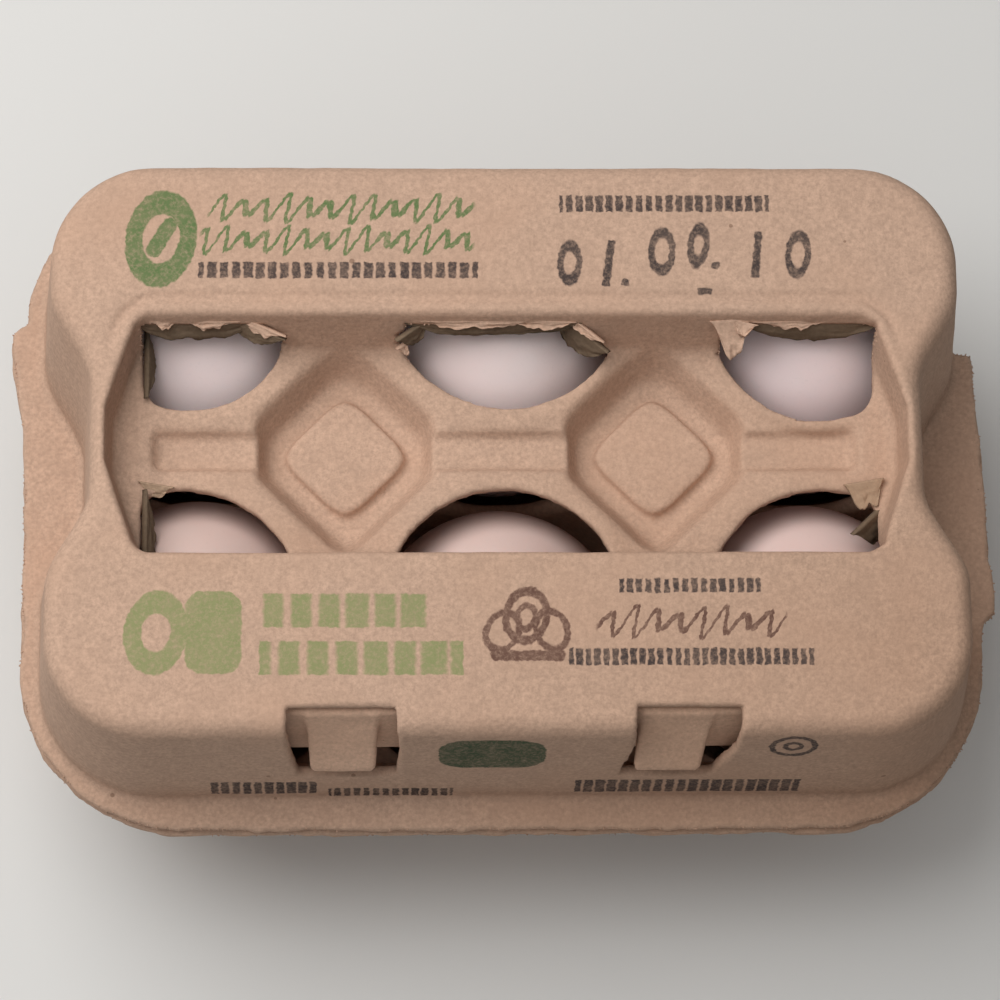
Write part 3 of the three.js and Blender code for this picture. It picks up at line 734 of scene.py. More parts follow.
class Quantity:
    """A value in a node tree, written in sums with the usual signs."""

    def __init__(self, socket):
        self.socket = socket

    def __add__(self, other):
        return worked("ADD", self, other)

    def __sub__(self, other):
        return worked("SUBTRACT", self, other)

    def __rsub__(self, other):
        return worked("SUBTRACT", other, self)

    def __mul__(self, other):
        return worked("MULTIPLY", self, other)

    def __truediv__(self, other):
        return worked("DIVIDE", self, other)

    def __rtruediv__(self, other):
        return worked("DIVIDE", other, self)

    def __gt__(self, other):
        return worked("GREATER_THAN", self, other)

    def __lt__(self, other):
        return worked("LESS_THAN", self, other)

    def __abs__(self):
        return worked("ABSOLUTE", self)

    __radd__, __rmul__ = __add__, __mul__


def inputs_of(tree):
    """The tree's own inputs by name."""
    return {socket.name: Quantity(socket) for socket in tree.nodes.new("NodeGroupInput").outputs}


def axes_of(tree, place):
    """The three parts of a vector."""
    return [Quantity(part) for part in node(tree, "ShaderNodeSeparateXYZ", ("Vector", place)).outputs]


def vector_of(tree, x, y, z=0.0):
    return node(tree, "ShaderNodeCombineXYZ", ("X", x), ("Y", y), ("Z", z)).outputs[0]


def vector_sum(tree, operation, *links):
    return node(tree, "ShaderNodeVectorMath", *links, operation=operation).outputs[0]


def ramp(value, low, high, out_low=0.0, out_high=1.0):
    """The value mapped from one range to another, and held at its ends."""
    made = node(
        value.socket.id_data, "ShaderNodeMapRange",
        ("Value", value), ("From Min", low), ("From Max", high), ("To Min", out_low), ("To Max", out_high),
    )
    return Quantity(made.outputs[0])


def noise(tree, place, scale, detail=2.0, roughness=0.5, output="Fac", seed=None):
    links = [("Vector", place), ("Scale", scale), ("Detail", detail), ("Roughness", roughness)]
    if seed is None:
        made = node(tree, "ShaderNodeTexNoise", *links)
    else:
        made = node(tree, "ShaderNodeTexNoise", *links, ("W", seed), noise_dimensions="4D")
    return Quantity(made.outputs[output])


# ---------------------------------------------------------------- materials
def shaded(colour, share):
    return tuple(min(1.0, part * share) for part in colour)


def tinted(colour, tint):
    return tuple(part * share for part, share in zip(colour, tint))


def mix_colour(share, a, b, blend="MIX"):
    """Colour a with a share of colour b laid over it. A plain colour is a tuple."""
    a, b = ((*colour, 1.0) if isinstance(colour, tuple) else colour for colour in (a, b))
    kind = {"data_type": "RGBA", "blend_type": blend}
    return node(share.socket.id_data, "ShaderNodeMix", (0, share), (6, a), (7, b), **kind).outputs[2]


def new_surface(name):
    """A new material, its tree, and the place on the piece."""
    material = bpy.data.materials.new(name)
    material.use_nodes = True
    tree = material.node_tree
    return material, tree, tree.nodes.new("ShaderNodeTexCoord").outputs["Object"]


def finish_surface(tree, colour, height, strength, distance, **values):
    """Puts the colour, the relief and the plain values on the material's shader."""
    shader = tree.nodes["Principled BSDF"]
    bump = node(tree, "ShaderNodeBump", ("Height", height), ("Strength", strength), ("Distance", distance))
    tree.links.new(colour, shader.inputs["Base Color"])
    tree.links.new(bump.outputs[0], shader.inputs["Normal"])
    for key, value in values.items():
        shader.inputs[key.replace("_", " ")].default_value = value


def fibres(tree, place, scale, turn):
    """Noise drawn out into fibres that lie across the pulp at a turn."""
    drawn = node(
        tree, "ShaderNodeMapping", ("Vector", place), ("Scale", scale), ("Rotation", (0.0, 0.0, turn)),
    )
    return noise(tree, drawn.outputs[0], 1.0)


def pulp_colour(tree, place, base, fleck_tone):
    """Mottled, fibrous, flecked tone of the pulp, with painted shade darkening it towards the front right.
    Returns its colour and its height.
    """
    cloud = noise(tree, place, 45.0, 3.0)
    blotch = noise(tree, place, 330.0, 3.0, 0.6)
    grain = noise(tree, place, 1500.0, 3.0, 0.7)
    fibre = worked(
        "MAXIMUM",
        fibres(tree, place, (500.0, 1900.0, 1500.0), 0.5),
        fibres(tree, place, (1900.0, 420.0, 1300.0), -0.4),
    )
    light, shade, warm = shaded(base, 1.16), shaded(base, 0.82), tinted(base, (1.0, 0.94, 0.9))
    colour = mix_colour(ramp(grain, 0.32, 0.68), shade, light)
    colour = mix_colour(ramp(blotch, 0.4, 0.75, 0.0, 0.45), colour, shade)
    colour = mix_colour(ramp(cloud, 0.45, 0.75, 0.0, 0.5), colour, warm)
    colour = mix_colour(ramp(fibre, 0.66, 0.78, 0.0, 0.5), colour, light)
    x, y, _ = axes_of(tree, place)
    # Painted shade: the pulp darkens towards the front right, where the lamps' light falls off, mottled a
    # little.
    front_right_shade = ramp(x, -0.02, 0.06) * ramp(y, 0.02, -0.035)
    front_right_shade = front_right_shade * ramp(noise(tree, place, 28.0), 0.25, 0.75, 0.55, 1.0)
    colour = mix_colour(front_right_shade, colour, FALLOFF_SHADE_TINT, "MULTIPLY")
    cells = node(tree, "ShaderNodeTexVoronoi", ("Vector", place), ("Scale", 170.0), ("Randomness", 1.0))
    draws = node(tree, "ShaderNodeSeparateColor", ("Color", cells.outputs["Color"])).outputs
    chance, width = Quantity(draws[0]), Quantity(draws[1])
    fleck = (Quantity(cells.outputs["Distance"]) < width * 0.07) * (chance > 0.62) * 0.55
    colour = mix_colour(fleck, colour, fleck_tone)
    return colour, grain * 0.6 + fibre * 0.5 + blotch * 0.7


def pulp_material(name, printed=False, tint=(1.0, 1.0, 1.0)):
    pulp = settings().pulp
    material, tree, place = new_surface(name)
    colour, height = pulp_colour(tree, place, tinted(pulp.colour, tint), tuple(pulp.fleck_colour))
    if printed:
        colour = print_over(tree, place, colour)
    finish_surface(tree, colour, height, 0.55, 0.00022, Roughness=0.95, Specular_IOR_Level=0.2)
    return material


def shell_material(name, tint):
    """Matt shell with faint pores and a pink cast."""
    material, tree, place = new_surface(name)
    tone = tinted(settings().egg.colour, tint)
    pores = noise(tree, place, 1400.0, 2.0, 0.6)
    colour = mix_colour(ramp(noise(tree, place, 60.0), 0.4, 0.7), tone, tinted(tone, (0.97, 0.93, 0.92)))
    colour = mix_colour(ramp(pores, 0.6, 0.75, 0.0, 0.25), colour, shaded(tone, 0.85))
    finish_surface(
        tree, colour, pores, 0.3, 0.00006, Roughness=0.5, Specular_IOR_Level=0.35,
        Subsurface_Weight=0.08, Subsurface_Radius=(0.002, 0.001, 0.0008),
    )
    return material


def material_named(name, make, *values):
    return bpy.data.materials.get(name) or make(name, *values)


def plain_pulp():
    return material_named("plain_pulp", pulp_material)


# ---------------------------------------------------------------- print
def placed(tree, inputs):
    """The two parts of a place from a mark's middle, turned with the mark."""
    moved = vector_sum(tree, "SUBTRACT", (0, inputs["Place"]), (1, inputs["Middle"]))
    links = ("Vector", moved), ("Angle", inputs["Turn"])
    turned = node(tree, "ShaderNodeVectorRotate", *links, rotation_type="Z_AXIS")
    return axes_of(tree, turned.outputs[0])[:2]


def cover_within(value, soft):
    """1 where the value is negative and 0 where it isn't, with an edge that is this soft."""
    return ramp(value, soft, -soft)


def build_bar(tree, inputs):
    """A bar with rounded corners."""
    corner = inputs["Corner"]
    x, y = (
        worked("MAXIMUM", abs(part) - half + corner, 0.0)
        for part, half in zip(placed(tree, inputs), axes_of(tree, inputs["Half size"]))
    )
    return cover_within(worked("SQRT", x * x + y * y) - corner, 0.1)


def build_ring(tree, inputs):
    """An oval with an even stroke, filled where the stroke is wide."""
    half_x, half_y, _ = axes_of(tree, inputs["Half size"])
    x, y = placed(tree, inputs)
    x, y = x / half_x, y / half_y
    beyond = (worked("SQRT", x * x + y * y) - 1.0) * half_x
    return cover_within(beyond, 0.1) * ramp(beyond + inputs["Stroke"], -0.1, 0.1)


def build_row(tree, inputs):
    """A row of upright dashes of uneven width."""
    half_x, half_y, _ = axes_of(tree, inputs["Half size"])
    x, y = placed(tree, inputs)
    steps = x / inputs["Pitch"]
    draw = node(tree, "ShaderNodeTexWhiteNoise", ("W", worked("FLOOR", steps)), noise_dimensions="1D")
    width = Quantity(draw.outputs["Value"]) * 0.22 + inputs["Share"]
    dash = cover_within(abs(worked("FRACT", steps) - 0.5) - width * 0.5, 0.06)
    return cover_within(abs(x) - half_x, 0.08) * cover_within(abs(y) - half_y, 0.08) * dash


def build_wave(tree, inputs):
    """A wavy ribbon, wider on its downstrokes."""
    half_x, half_y, _ = axes_of(tree, inputs["Half size"])
    x, y = placed(tree, inputs)
    turn = (x - y * 0.45) * (2 * math.pi / inputs["Pitch"])
    reach = half_y * (worked("SINE", turn * 0.29) * 0.3 + 0.62)
    steep = abs(worked("COSINE", turn)) * 1.5 + 0.55
    off = abs(y - worked("SINE", turn) * reach)
    return cover_within(off - inputs["Stroke"] * steep, 0.12) * cover_within(abs(x) - half_x, 0.3)


MARK_KINDS = {
    "bar": (build_bar, "Corner"),
    "ring": (build_ring, "Stroke"),
    "row": (build_row, "Pitch", "Share"),
    "wave": (build_wave, "Pitch", "Stroke"),
}


def ink_group(kind):
    """A node group from a place, in millimetres, to how much of a mark of this kind covers it."""
    build, *own = MARK_KINDS[kind]
    group = bpy.data.node_groups.new(f"Ink {kind}", "ShaderNodeTree")
    for label in ("Place", "Middle", "Half size"):
        group.interface.new_socket(label, in_out="INPUT", socket_type="NodeSocketVector")
    for label in ("Turn", *own):
        group.interface.new_socket(label, in_out="INPUT", socket_type="NodeSocketFloat")
    group.interface.new_socket("Cover", in_out="OUTPUT", socket_type="NodeSocketFloat")
    node(group, "NodeGroupOutput", ("Cover", build(group, inputs_of(group))))
    return group


# Marks: face (0 is the top panel, 1 the front wall), kind, ink, middle, half size, turn in degrees,
# and the kind's own numbers: a bar's corner, a ring's stroke, a row's or a wave's pitch and share.
MARKS = [
    (0, "ring", "green", (-53.1, 33.0), (5.5, 8.0), 8, 2.7),
    (0, "bar", "green", (-53.0, 33.2), (1.2, 3.6), 30, 1.1),
    (0, "wave", "green", (-25.3, 38.0), (20.5, 2.5), 0, 3.3, 0.52),
    (0, "wave", "green", (-26.0, 32.8), (21.0, 2.4), 0, 3.1, 0.52),
    (0, "row", "dark", (-25.8, 27.9), (21.5, 1.3), 0, 1.85, 0.6),
    (0, "row", "dark", (24.7, 38.9), (16.3, 1.35), 0, 1.55, 0.6),
    (0, "ring", "dark", (9.9, 29.1), (1.9, 3.8), 3, 0.95),
    (0, "bar", "dark", (15.9, 29.1), (0.6, 3.8), 8, 0.3),
    (0, "bar", "dark", (18.4, 25.9), (0.6, 0.6), 0, 0.4),
    (0, "ring", "dark", (24.2, 31.0), (2.1, 4.0), 3, 1.0),
    (0, "ring", "dark", (29.9, 32.0), (1.7, 3.8), 8, 0.95),
    (0, "bar", "dark", (32.5, 28.7), (0.6, 0.6), 0, 0.4),
    (0, "bar", "dark", (30.7, 24.5), (1.1, 0.5), -4, 0.3),
    (0, "bar", "dark", (38.9, 30.4), (0.6, 3.8), 6, 0.3),
    (0, "ring", "dark", (45.3, 30.5), (2.0, 4.0), 5, 0.95),
    (0, "ring", "pale_green", (-53.2, -29.9), (4.8, 6.6), 8, 2.6),
    (0, "bar", "pale_green", (-44.6, -29.9), (4.2, 6.4), 0, 2.6),
    (0, "row", "pale_green", (-25.1, -26.5), (12.6, 2.6), 0, 4.2, 0.7),
    (0, "row", "pale_green", (-22.4, -33.9), (15.3, 2.6), 0, 4.35, 0.7),
    (0, "ring", "brown", (2.4, -27.4), (3.6, 4.6), 12, 1.1),
    (0, "ring", "brown", (2.4, -27.6), (1.7, 2.4), 12, 0.8),
    (0, "ring", "brown", (-1.2, -29.8), (2.8, 3.6), 28, 0.9),
    (0, "ring", "brown", (6.2, -29.6), (2.8, 3.6), -18, 0.9),
    (0, "bar", "brown", (2.6, -33.6), (5.6, 0.8), 0, 0.6),
    (0, "row", "dark", (27.2, -22.7), (10.7, 1.1), 0, 1.4, 0.58),
    (0, "wave", "brown", (27.4, -28.4), (14.3, 2.7), 0, 3.4, 0.5),
    (0, "row", "dark", (27.2, -33.8), (18.4, 1.3), 0, 1.35, 0.6),
    (1, "bar", "deep_green", (-2.6, 58.4), (8.1, 6.2), 0, 4.4),
    (1, "row", "dark", (-37.4, 43.4), (8.1, 2.6), 0, 1.7, 0.66),
    (1, "row", "dark", (-17.8, 41.2), (9.6, 1.7), 0, 1.5, 0.6),
    (1, "row", "dark", (28.0, 43.8), (17.4, 2.8), 0, 1.8, 0.66),
    (1, "ring", "dark", (42.8, 61.6), (3.7, 4.4), 0, 0.9),
    (1, "ring", "dark", (42.8, 61.6), (1.6, 1.9), 0, 0.8),
]


def print_over(tree, place, colour):
    """Lays the inked marks over the pulp's colour, on the lid's outer face alone."""
    ink = settings().ink
    groups = {kind: ink_group(kind) for kind in MARK_KINDS}
    wobble = noise(tree, place, 1100.0, output="Color")
    wobble = vector_sum(tree, "SUBTRACT", (0, wobble), (1, (0.5, 0.5, 0.5)))
    wobble = vector_sum(tree, "SCALE", (0, wobble), ("Scale", INK_WOBBLE))
    moved = vector_sum(tree, "ADD", (0, place), (1, wobble))
    x, y, z = axes_of(tree, vector_sum(tree, "SCALE", (0, moved), ("Scale", 1 / MM)))
    wall = ramp(z, RIM_TOP, LID_TOP, *(front + INK_DEPTH for front in LID_FRONT))
    faces = (
        (vector_of(tree, x, y), z > LID_TOP - 1.6),
        (vector_of(tree, x, z), (y - wall < 0.0) * (z < LID_TOP - 2.0)),
    )
    grain = noise(tree, place, 1700.0, 3.0, 0.8)
    cloudy = noise(tree, place, 260.0)
    worn = ramp(grain, 0.45, 0.75) * (ink.wear * 1.6) + ramp(cloudy, 0.4, 0.8, 0.0, ink.wear * 0.6)
    strength = worked("SUBTRACT", 0.96, worn, clamp=True)
    for name in ("green", "pale_green", "deep_green", "dark", "brown"):
        total = None
        for face, kind, which, middle, half, turn, *own in MARKS:
            if which != name:
                continue
            plane, where = faces[face]
            values = [plane, (*middle, 0.0), (*half, 1.0), math.radians(turn), *own]
            mark = node(tree, "ShaderNodeGroup", *enumerate(values), node_tree=groups[kind])
            cover = Quantity(mark.outputs[0]) * where
            total = cover if total is None else worked("MAXIMUM", total, cover)
        colour = mix_colour(total * strength, colour, tuple(getattr(ink, name)))
    return colour


# ---------------------------------------------------------------- geometry nodes
def geometry_tree(name, sockets):
    """An empty geometry tree with the named inputs, and those inputs."""
    tree = bpy.data.node_groups.new(name, "GeometryNodeTree")
    tree.interface.new_socket("Geometry", in_out="INPUT", socket_type="NodeSocketGeometry")
    for label, kind, default in (*sockets, ("Material", "Material", None)):
        socket = tree.interface.new_socket(label, in_out="INPUT", socket_type=f"NodeSocket{kind}")
        if default is not None:
            socket.default_value = default
    tree.interface.new_socket("Geometry", in_out="OUTPUT", socket_type="NodeSocketGeometry")
    return tree, inputs_of(tree)


def finish_tree(tree, geometry, material):
    """Ends a tree in real faces with their material."""
    real = node(tree, "GeometryNodeRealizeInstances", ("Geometry", geometry))
    smooth = node(tree, "GeometryNodeSetShadeSmooth", ("Geometry", real.outputs[0]))
    painted = node(tree, "GeometryNodeSetMaterial", ("Geometry", smooth.outputs[0]), ("Material", material))
    node(tree, "NodeGroupOutput", ("Geometry", painted.outputs[0]))
    return tree


def grown(name, tree, values, mesh=None):
    """The mesh that a geometry tree makes with these input values."""
    obj = bpy.data.objects.new(name, mesh or bpy.data.meshes.new(name))
    bpy.context.scene.collection.objects.link(obj)
    modifier = obj.modifiers.new("Nodes", "NODES")
    modifier.node_group = tree
    for item in tree.interface.items_tree:
        if item.item_type == "SOCKET" and item.in_out == "INPUT" and item.name in values:
            modifier[item.identifier] = values[item.name]
    return plain_copy(obj)


def egg_tree():
    """An upright egg from a ball: its two halves stretched to their own lengths."""
    tree, inputs = geometry_tree("Egg shell", [
        ("Length", "Float", 0.0575),
        ("Breadth", "Float", 0.0426),
        ("Widest height", "Float", 0.55),
        ("Segments", "Int", 96),
        ("Rings", "Int", 56),
        ("Unevenness", "Float", 0.0001),
        ("Seed", "Float", 0.0),
    ])
    ball = node(
        tree, "GeometryNodeMeshUVSphere",
        ("Segments", inputs["Segments"]), ("Rings", inputs["Rings"]), ("Radius", 1.0),
    )
    place = tree.nodes.new("GeometryNodeInputPosition").outputs[0]
    x, y, z = axes_of(tree, place)
    upper = inputs["Length"] * (1.0 - inputs["Widest height"])
    lower = inputs["Length"] * inputs["Widest height"]
    height = lower + z * (lower + (z > 0.0) * (upper - lower))
    aside = vector_sum(tree, "ADD", (0, place), (1, (7.3, 2.1, 5.9)))
    dent = noise(tree, aside, 1.6, seed=inputs["Seed"]) * -2.0 * inputs["Unevenness"]
    girth = inputs["Breadth"] * 0.5 + dent
    moved = vector_of(tree, x * girth, y * girth, height)
    shaped = node(tree, "GeometryNodeSetPosition", ("Geometry", ball.outputs[0]), ("Position", moved))
    return finish_tree(tree, shaped.outputs[0], inputs["Material"])


def scrap_tree():
    """A torn, curled flap of pulp. It grows along X from the origin, is wide along Y and curls to +Z."""
    tree, inputs = geometry_tree("Torn scrap", [
        ("Length", "Float", 0.004),
        ("Width", "Float", 0.006),
        ("Thickness", "Float", 0.0007),
        ("Curl", "Float", 1.0),
        ("Taper", "Float", 0.3),
        ("Raggedness", "Float", 0.5),
        ("Seed", "Float", 0.0),
    ])
    slab = node(
        tree, "GeometryNodeMeshCube",
        ("Size", (1.0, 1.0, 1.0)), ("Vertices X", 14), ("Vertices Y", 40), ("Vertices Z", 3),
    )
    place = tree.nodes.new("GeometryNodeInputPosition").outputs[0]
    x, y, z = axes_of(tree, place)
    along, across = x + 0.5, y * inputs["Width"]
    tip = noise(tree, vector_of(tree, across * TEARS_PER_METRE, 0.0), 1.0, seed=inputs["Seed"])
    rounding = 1.0 - worked("POWER", abs(y) * 2.0, 3.0) * 0.85
    stretch = (1.0 + (tip - 0.6) * inputs["Raggedness"] * 2.4) * rounding
    reach = along * stretch * inputs["Length"]
    bend = inputs["Curl"] / inputs["Length"]
    sine, cosine = worked("SINE", reach * bend), worked("COSINE", reach * bend)
    swell = (noise(tree, place, 3.0, seed=inputs["Seed"]) - 0.5) * SCRAP_SWELL
    raised = z * (1.0 - along * 0.6) * inputs["Thickness"] + swell * along
    moved = vector_of(
        tree,
        sine / bend - raised * sine,
        across * (1.0 - inputs["Taper"] * along),
        (1.0 - cosine) / bend + raised * cosine,
    )
    shaped = node(tree, "GeometryNodeSetPosition", ("Geometry", slab.outputs[0]), ("Position", moved))
    return finish_tree(tree, shaped.outputs[0], inputs["Material"])


def fringe_tree():
    """Short fibres that stand out from the points of a torn edge."""
    tree, inputs = geometry_tree("Torn fringe", [
        ("Share", "Float", 0.5),
        ("Fibre length", "Float", 0.0005),
        ("Fibre thickness", "Float", 0.0001),
        ("Seed", "Int", 0),
    ])
    fibre = node(tree, "GeometryNodeMeshUVSphere", ("Segments", 5), ("Rings", 4), ("Radius", 1.0))
    pick = node(
        tree, "FunctionNodeRandomValue", ("Probability", inputs["Share"]), ("Seed", inputs["Seed"]),
        data_type="BOOLEAN",
    )
    turn, size = (
        node(tree, "FunctionNodeRandomValue", (0, low), (1, high), data_type="FLOAT_VECTOR").outputs[0]
        for low, high in (((-3.1, -3.1, -3.1), (3.1, 3.1, 3.1)), ((0.45, 0.7, 0.7), (1.0, 1.7, 1.2)))
    )
    unit = vector_of(tree, inputs["Fibre length"], inputs["Fibre thickness"], inputs["Fibre thickness"])
    scale = vector_sum(tree, "MULTIPLY", (0, size), (1, unit))
    standing = node(
        tree, "GeometryNodeInstanceOnPoints",
        ("Points", inputs["Geometry"]), ("Selection", pick.outputs[3]), ("Instance", fibre.outputs[0]),
        ("Rotation", turn), ("Scale", scale),
    )
    return finish_tree(tree, standing.outputs[0], inputs["Material"])


def joined(name, meshes):
    """One mesh from several. The parts are removed."""
    whole = bmesh.new()
    for mesh in meshes:
        whole.from_mesh(mesh)
        bpy.data.meshes.remove(mesh)
    result = bpy.data.meshes.new(name)
    whole.to_mesh(result)
    whole.free()
    result.polygons.foreach_set("use_smooth", np.ones(len(result.polygons), bool))
    return result


def edge_places(mesh, on_edge):
    """The mesh's vertices, in millimetres, where the test holds."""
    places = np.empty(len(mesh.vertices) * 3, np.float32)
    mesh.vertices.foreach_get("co", places)
    places = places.reshape(-1, 3).astype(float) / MM
    return places[on_edge(*places.T)]


def grow_fringe(name, shell, on_edge, body, share):
    """Fibres along the torn edges of a finished shell."""
    material = plain_pulp()
    places = edge_places(shell, on_edge)
    points = bpy.data.meshes.new(name)
    points.vertices.add(len(places))
    points.vertices.foreach_set("co", (places * MM).astype(np.float32).ravel())
    mesh = grown(name, bpy.data.node_groups.get("Torn fringe") or fringe_tree(), {
        "Share": share,
        "Fibre length": 0.00045,
        "Fibre thickness": 0.00013,
        "Seed": settings().pulp.seed,
        "Material": material,
    }, points)
    add_object(name, mesh, material, body, "pulp")


# ---------------------------------------------------------------- operators
def spacing_of(piece):
    quick, full = GRID_SPACING[piece]
    return full


def grid_corners(bottom, top):
    """The corners of the grid round a shell that stands between two heights."""
    x, y = GRID_EDGE
    return (-x, -y, bottom - 1.0), (x, y, top + 1.0)


class CARTON_OT_lid(bpy.types.Operator):
    """Build the lid with its sunk middle, windows, slots, torn rim and print"""

    bl_idname = "carton.lid"
    bl_label = "Lid"

    def execute(self, context):
        mesh = moulded("lid_shell", lid_field, *grid_corners(LID_RIM_Z, LID_TOP), spacing_of("lid"))
        material = material_named("printed_pulp", pulp_material, True)
        add_object("lid_shell", mesh, material, "cover", "pulp", "lid")
        pulp = settings().pulp

        def on_edge(x, y, z):
            window = np.abs(window_holes(x, y, z, pulp.seed + 4)) < 0.3
            window &= (z < LID_TOP - 2.2) & (z > RIM_TOP + 19) & (y > CENTRE_Y + 14.5)
            rim = np.abs(torn_rim(x, y, z, 0.3, pulp.seed + 2)) < 0.4
            rim &= (z > LID_RIM_Z + 0.5) & (z < LID_RIM_Z + 1.7) & (outline_distance(x, y) < -0.5)
            return window | rim

        grow_fringe("lid_fringe", mesh, on_edge, "cover", 0.4)
        return {"FINISHED"}


class CARTON_OT_scraps(bpy.types.Operator):
    """Hang torn flaps and ragged strips from the edges of the windows"""

    bl_idname = "carton.scraps"
    bl_label = "Torn scraps"

    def execute(self, context):
        tree = scrap_tree()
        # The dark and olive tints are painted shade, for scraps that hang in the windows' shadows.
        for name, tint in SCRAP_TINTS.items():
            material = pulp_material(f"torn_{name}", False, tint)
            parts = []
            for number, (kind, root, turn, lean, length, width, curl, taper, rag) in enumerate(SCRAPS):
                if kind != name:
                    continue
                mesh = grown(f"scrap_{number}", tree, {
                    "Length": length * MM,
                    "Width": width * MM,
                    "Thickness": SCRAP_THICK * MM,
                    "Curl": math.radians(curl or 1),
                    "Taper": taper,
                    "Raggedness": rag,
                    "Seed": 2.3 * number,
                    "Material": material,
                })
                lean = math.radians(lean)
                down = Vector((0, -math.sin(lean), -math.cos(lean)))
                side = Vector((1, 0, 0))
                hang = Matrix((down, side, down.cross(side))).transposed().to_4x4()
                hang = Matrix.Rotation(math.radians(turn), 4, "Z") @ hang
                mesh.transform(Matrix.Translation(Vector(root) * MM) @ hang)
                parts.append(mesh)
            add_object(f"lid_scraps_{name}", joined(f"lid_scraps_{name}", parts), material, "cover", "pulp")
        return {"FINISHED"}


class CARTON_OT_tray(bpy.types.Operator):
    """Build the tray with its cups, saddles, posts and torn rim"""

    bl_idname = "carton.tray"
    bl_label = "Tray"

    def execute(self, context):
        mesh = moulded("tray_shell", tray_field, *grid_corners(0.0, POST_TOP), spacing_of("tray"))
        add_object("tray_shell", mesh, plain_pulp(), "base", "pulp", "tray")
        pulp = settings().pulp

        def on_edge(x, y, z):
            rim = np.abs(torn_rim(x, y, z, 0.0, pulp.seed + 9)) < 0.4
            return rim & (z > DECK_TOP - 1.8) & (z < DECK_TOP - 0.5) & (outline_distance(x, y) < -0.5)

        grow_fringe("tray_fringe", mesh, on_edge, "base", 0.5)
        return {"FINISHED"}


class CARTON_OT_flap(bpy.types.Operator):
    """Build the closure flap and its two tabs"""

    bl_idname = "carton.flap"
    bl_label = "Closure flap"

    def execute(self, context):
        low = (-FLAP_HALF - 1.0, -50.0, FLAP_FOOT[1] - 1.0)
        high = (FLAP_HALF + 1.0, -39.0, FLAP_HEAD[1] + 1.0)
        mesh = moulded("flap_sheet", flap_field, low, high, spacing_of("flap"))
        # The flap's lighter tint is painted light: it brightens the tabs as if they faced the lamps more.
        material = material_named("flap_pulp", pulp_material, False, FLAP_LIGHT_TINT)
        add_object("flap_sheet", mesh, material, "base", "pulp", "closure_flap")
        return {"FINISHED"}


class CARTON_OT_eggs(bpy.types.Operator):
    """Build the six eggs in their cups"""

    bl_idname = "carton.eggs"
    bl_label = "Eggs"

    def execute(self, context):
        egg = settings().egg
        tree = egg_tree()
        for number, ((length, breadth), lean, tint) in enumerate(zip(EGG_SIZES, EGG_LEANS, EGG_TINTS_AND_SHADE), 1):
            # The front row's tints paint the shade that the eggs sit in.
            material = shell_material(f"eggshell_{number}", tint)
            mesh = grown(f"egg_shell_{number}", tree, {
                "Length": length * MM,
                "Breadth": (breadth - 0.1) * MM,
                "Widest height": egg.widest,
                "Segments": 96,
                "Rings": 56,
                "Unevenness": 0.0001,
                "Seed": 1.7 * number,
                "Material": material,
            })
            row, column = divmod(number - 1, 3)
            foot = Vector(((column - 1) * PITCH, CENTRE_Y + (row * 2 - 1) * ROW, CUP_FLOOR + GAP)) * MM
            tilt = Vector((0, 0, 1)).rotation_difference(Vector((*lean, length)))
            mesh.transform(Matrix.Translation(foot) @ tilt.to_matrix().to_4x4())
            add_object(f"egg_shell_{number}", mesh, material, "base", "eggshell", f"egg_{number}")
        return {"FINISHED"}


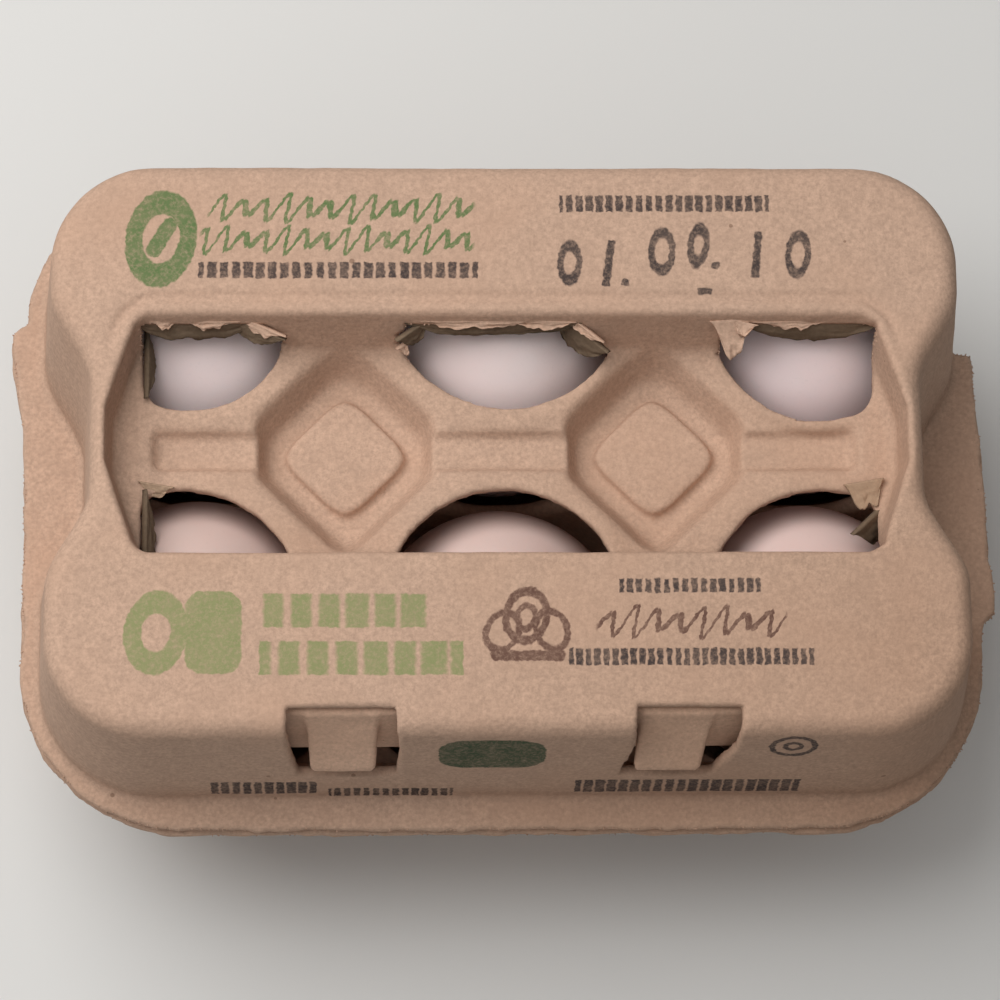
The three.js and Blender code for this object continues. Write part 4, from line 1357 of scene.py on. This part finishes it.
class CARTON_OT_stage(bpy.types.Operator):
    """Set the pale floor, the soft light and the camera"""

    bl_idname = "carton.stage"
    bl_label = "Stage"

    def execute(self, context):
        stage = settings().stage
        scene = context.scene
        scene.view_settings.view_transform = "Standard"
        floor_mesh = bpy.data.meshes.new("floor")
        corners = [(x * FLOOR_HALF, y * FLOOR_HALF, 0) for x, y in ((-1, -1), (1, -1), (1, 1), (-1, 1))]
        floor_mesh.from_pydata(corners, [], [(0, 1, 2, 3)])
        floor = bpy.data.objects.new("floor", floor_mesh)
        scene.collection.objects.link(floor)
        material = bpy.data.materials.new("floor")
        material.use_nodes = True
        shader = material.node_tree.nodes["Principled BSDF"]
        shader.inputs["Base Color"].default_value = (*stage.floor, 1.0)
        shader.inputs["Roughness"].default_value = 0.9
        floor_mesh.materials.append(material)
        world = bpy.data.worlds.new("studio")
        world.use_nodes = True
        sky = world.node_tree.nodes["Background"].inputs
        sky["Color"].default_value, sky["Strength"].default_value = HAZE_TINT, stage.haze
        scene.world = world
        for name, power, (size, place) in (
            ("softbox", stage.key, SOFTBOX), ("overhead_sheet", stage.fill, OVERHEAD_SHEET),
        ):
            light = bpy.data.lights.new(name, "AREA")
            light.shape, light.size, light.energy = "DISK", size, power
            light.color = LIGHT_TINT
            lamp = bpy.data.objects.new(name, light)
            lamp.location = place
            lamp.rotation_mode = "QUATERNION"
            lamp.rotation_quaternion = (Vector(LIGHT_AIM) - Vector(place)).to_track_quat("-Z", "Y")
            scene.collection.objects.link(lamp)
        data = bpy.data.cameras.new("camera")
        data.sensor_width, data.lens = CAMERA_SENSOR, CAMERA_LENS
        data.clip_start, data.clip_end = CAMERA_CLIP
        camera = bpy.data.objects.new("camera", data)
        scene.collection.objects.link(camera)
        height, yaw, roll = (math.radians(a) for a in CAMERA_ANGLES)
        back = Vector((-math.sin(yaw), -math.cos(yaw), 0.0)) * math.cos(height)
        back.z = math.sin(height)
        side = Vector((math.cos(yaw), -math.sin(yaw), 0.0))
        up = back.cross(side)
        right = math.cos(roll) * side + math.sin(roll) * up
        top = math.cos(roll) * up - math.sin(roll) * side
        turn = Matrix((right, top, back)).transposed().to_4x4()
        camera.matrix_world = Matrix.Translation(Vector(CAMERA_AIM) + back * CAMERA_DISTANCE) @ turn
        scene.camera = camera
        return {"FINISHED"}


class CARTON_PT_panel(bpy.types.Panel):
    """Sizes, colours and pieces of the carton"""

    bl_idname = "CARTON_PT_panel"
    bl_label = "Egg carton"
    bl_space_type = "VIEW_3D"
    bl_region_type = "UI"
    bl_category = "Carton"

    def draw(self, context):
        for name in CartonSettings.__annotations__:
            group = getattr(settings(), name)
            box = self.layout.box()
            box.label(text=name.capitalize())
            for key in group.__annotations__:
                box.prop(group, key)
        for operator in OPERATORS:
            self.layout.operator(operator.bl_idname)


OPERATORS = (
    CARTON_OT_stage,
    CARTON_OT_tray,
    CARTON_OT_eggs,
    CARTON_OT_flap,
    CARTON_OT_lid,
    CARTON_OT_scraps,
)
CLASSES = (
    PulpSettings, PrintSettings, EggSettings, StageSettings, CartonSettings, *OPERATORS, CARTON_PT_panel,
)


def register():
    for item in CLASSES:
        bpy.utils.register_class(item)
    bpy.types.Scene.egg_carton = PointerProperty(type=CartonSettings)


def unregister():
    del bpy.types.Scene.egg_carton
    for item in reversed(CLASSES):
        bpy.utils.unregister_class(item)


def main():
    register()
    for operator in OPERATORS:
        group, action = operator.bl_idname.split(".")
        getattr(getattr(bpy.ops, group), action)()


if __name__ == "__main__":
    main()
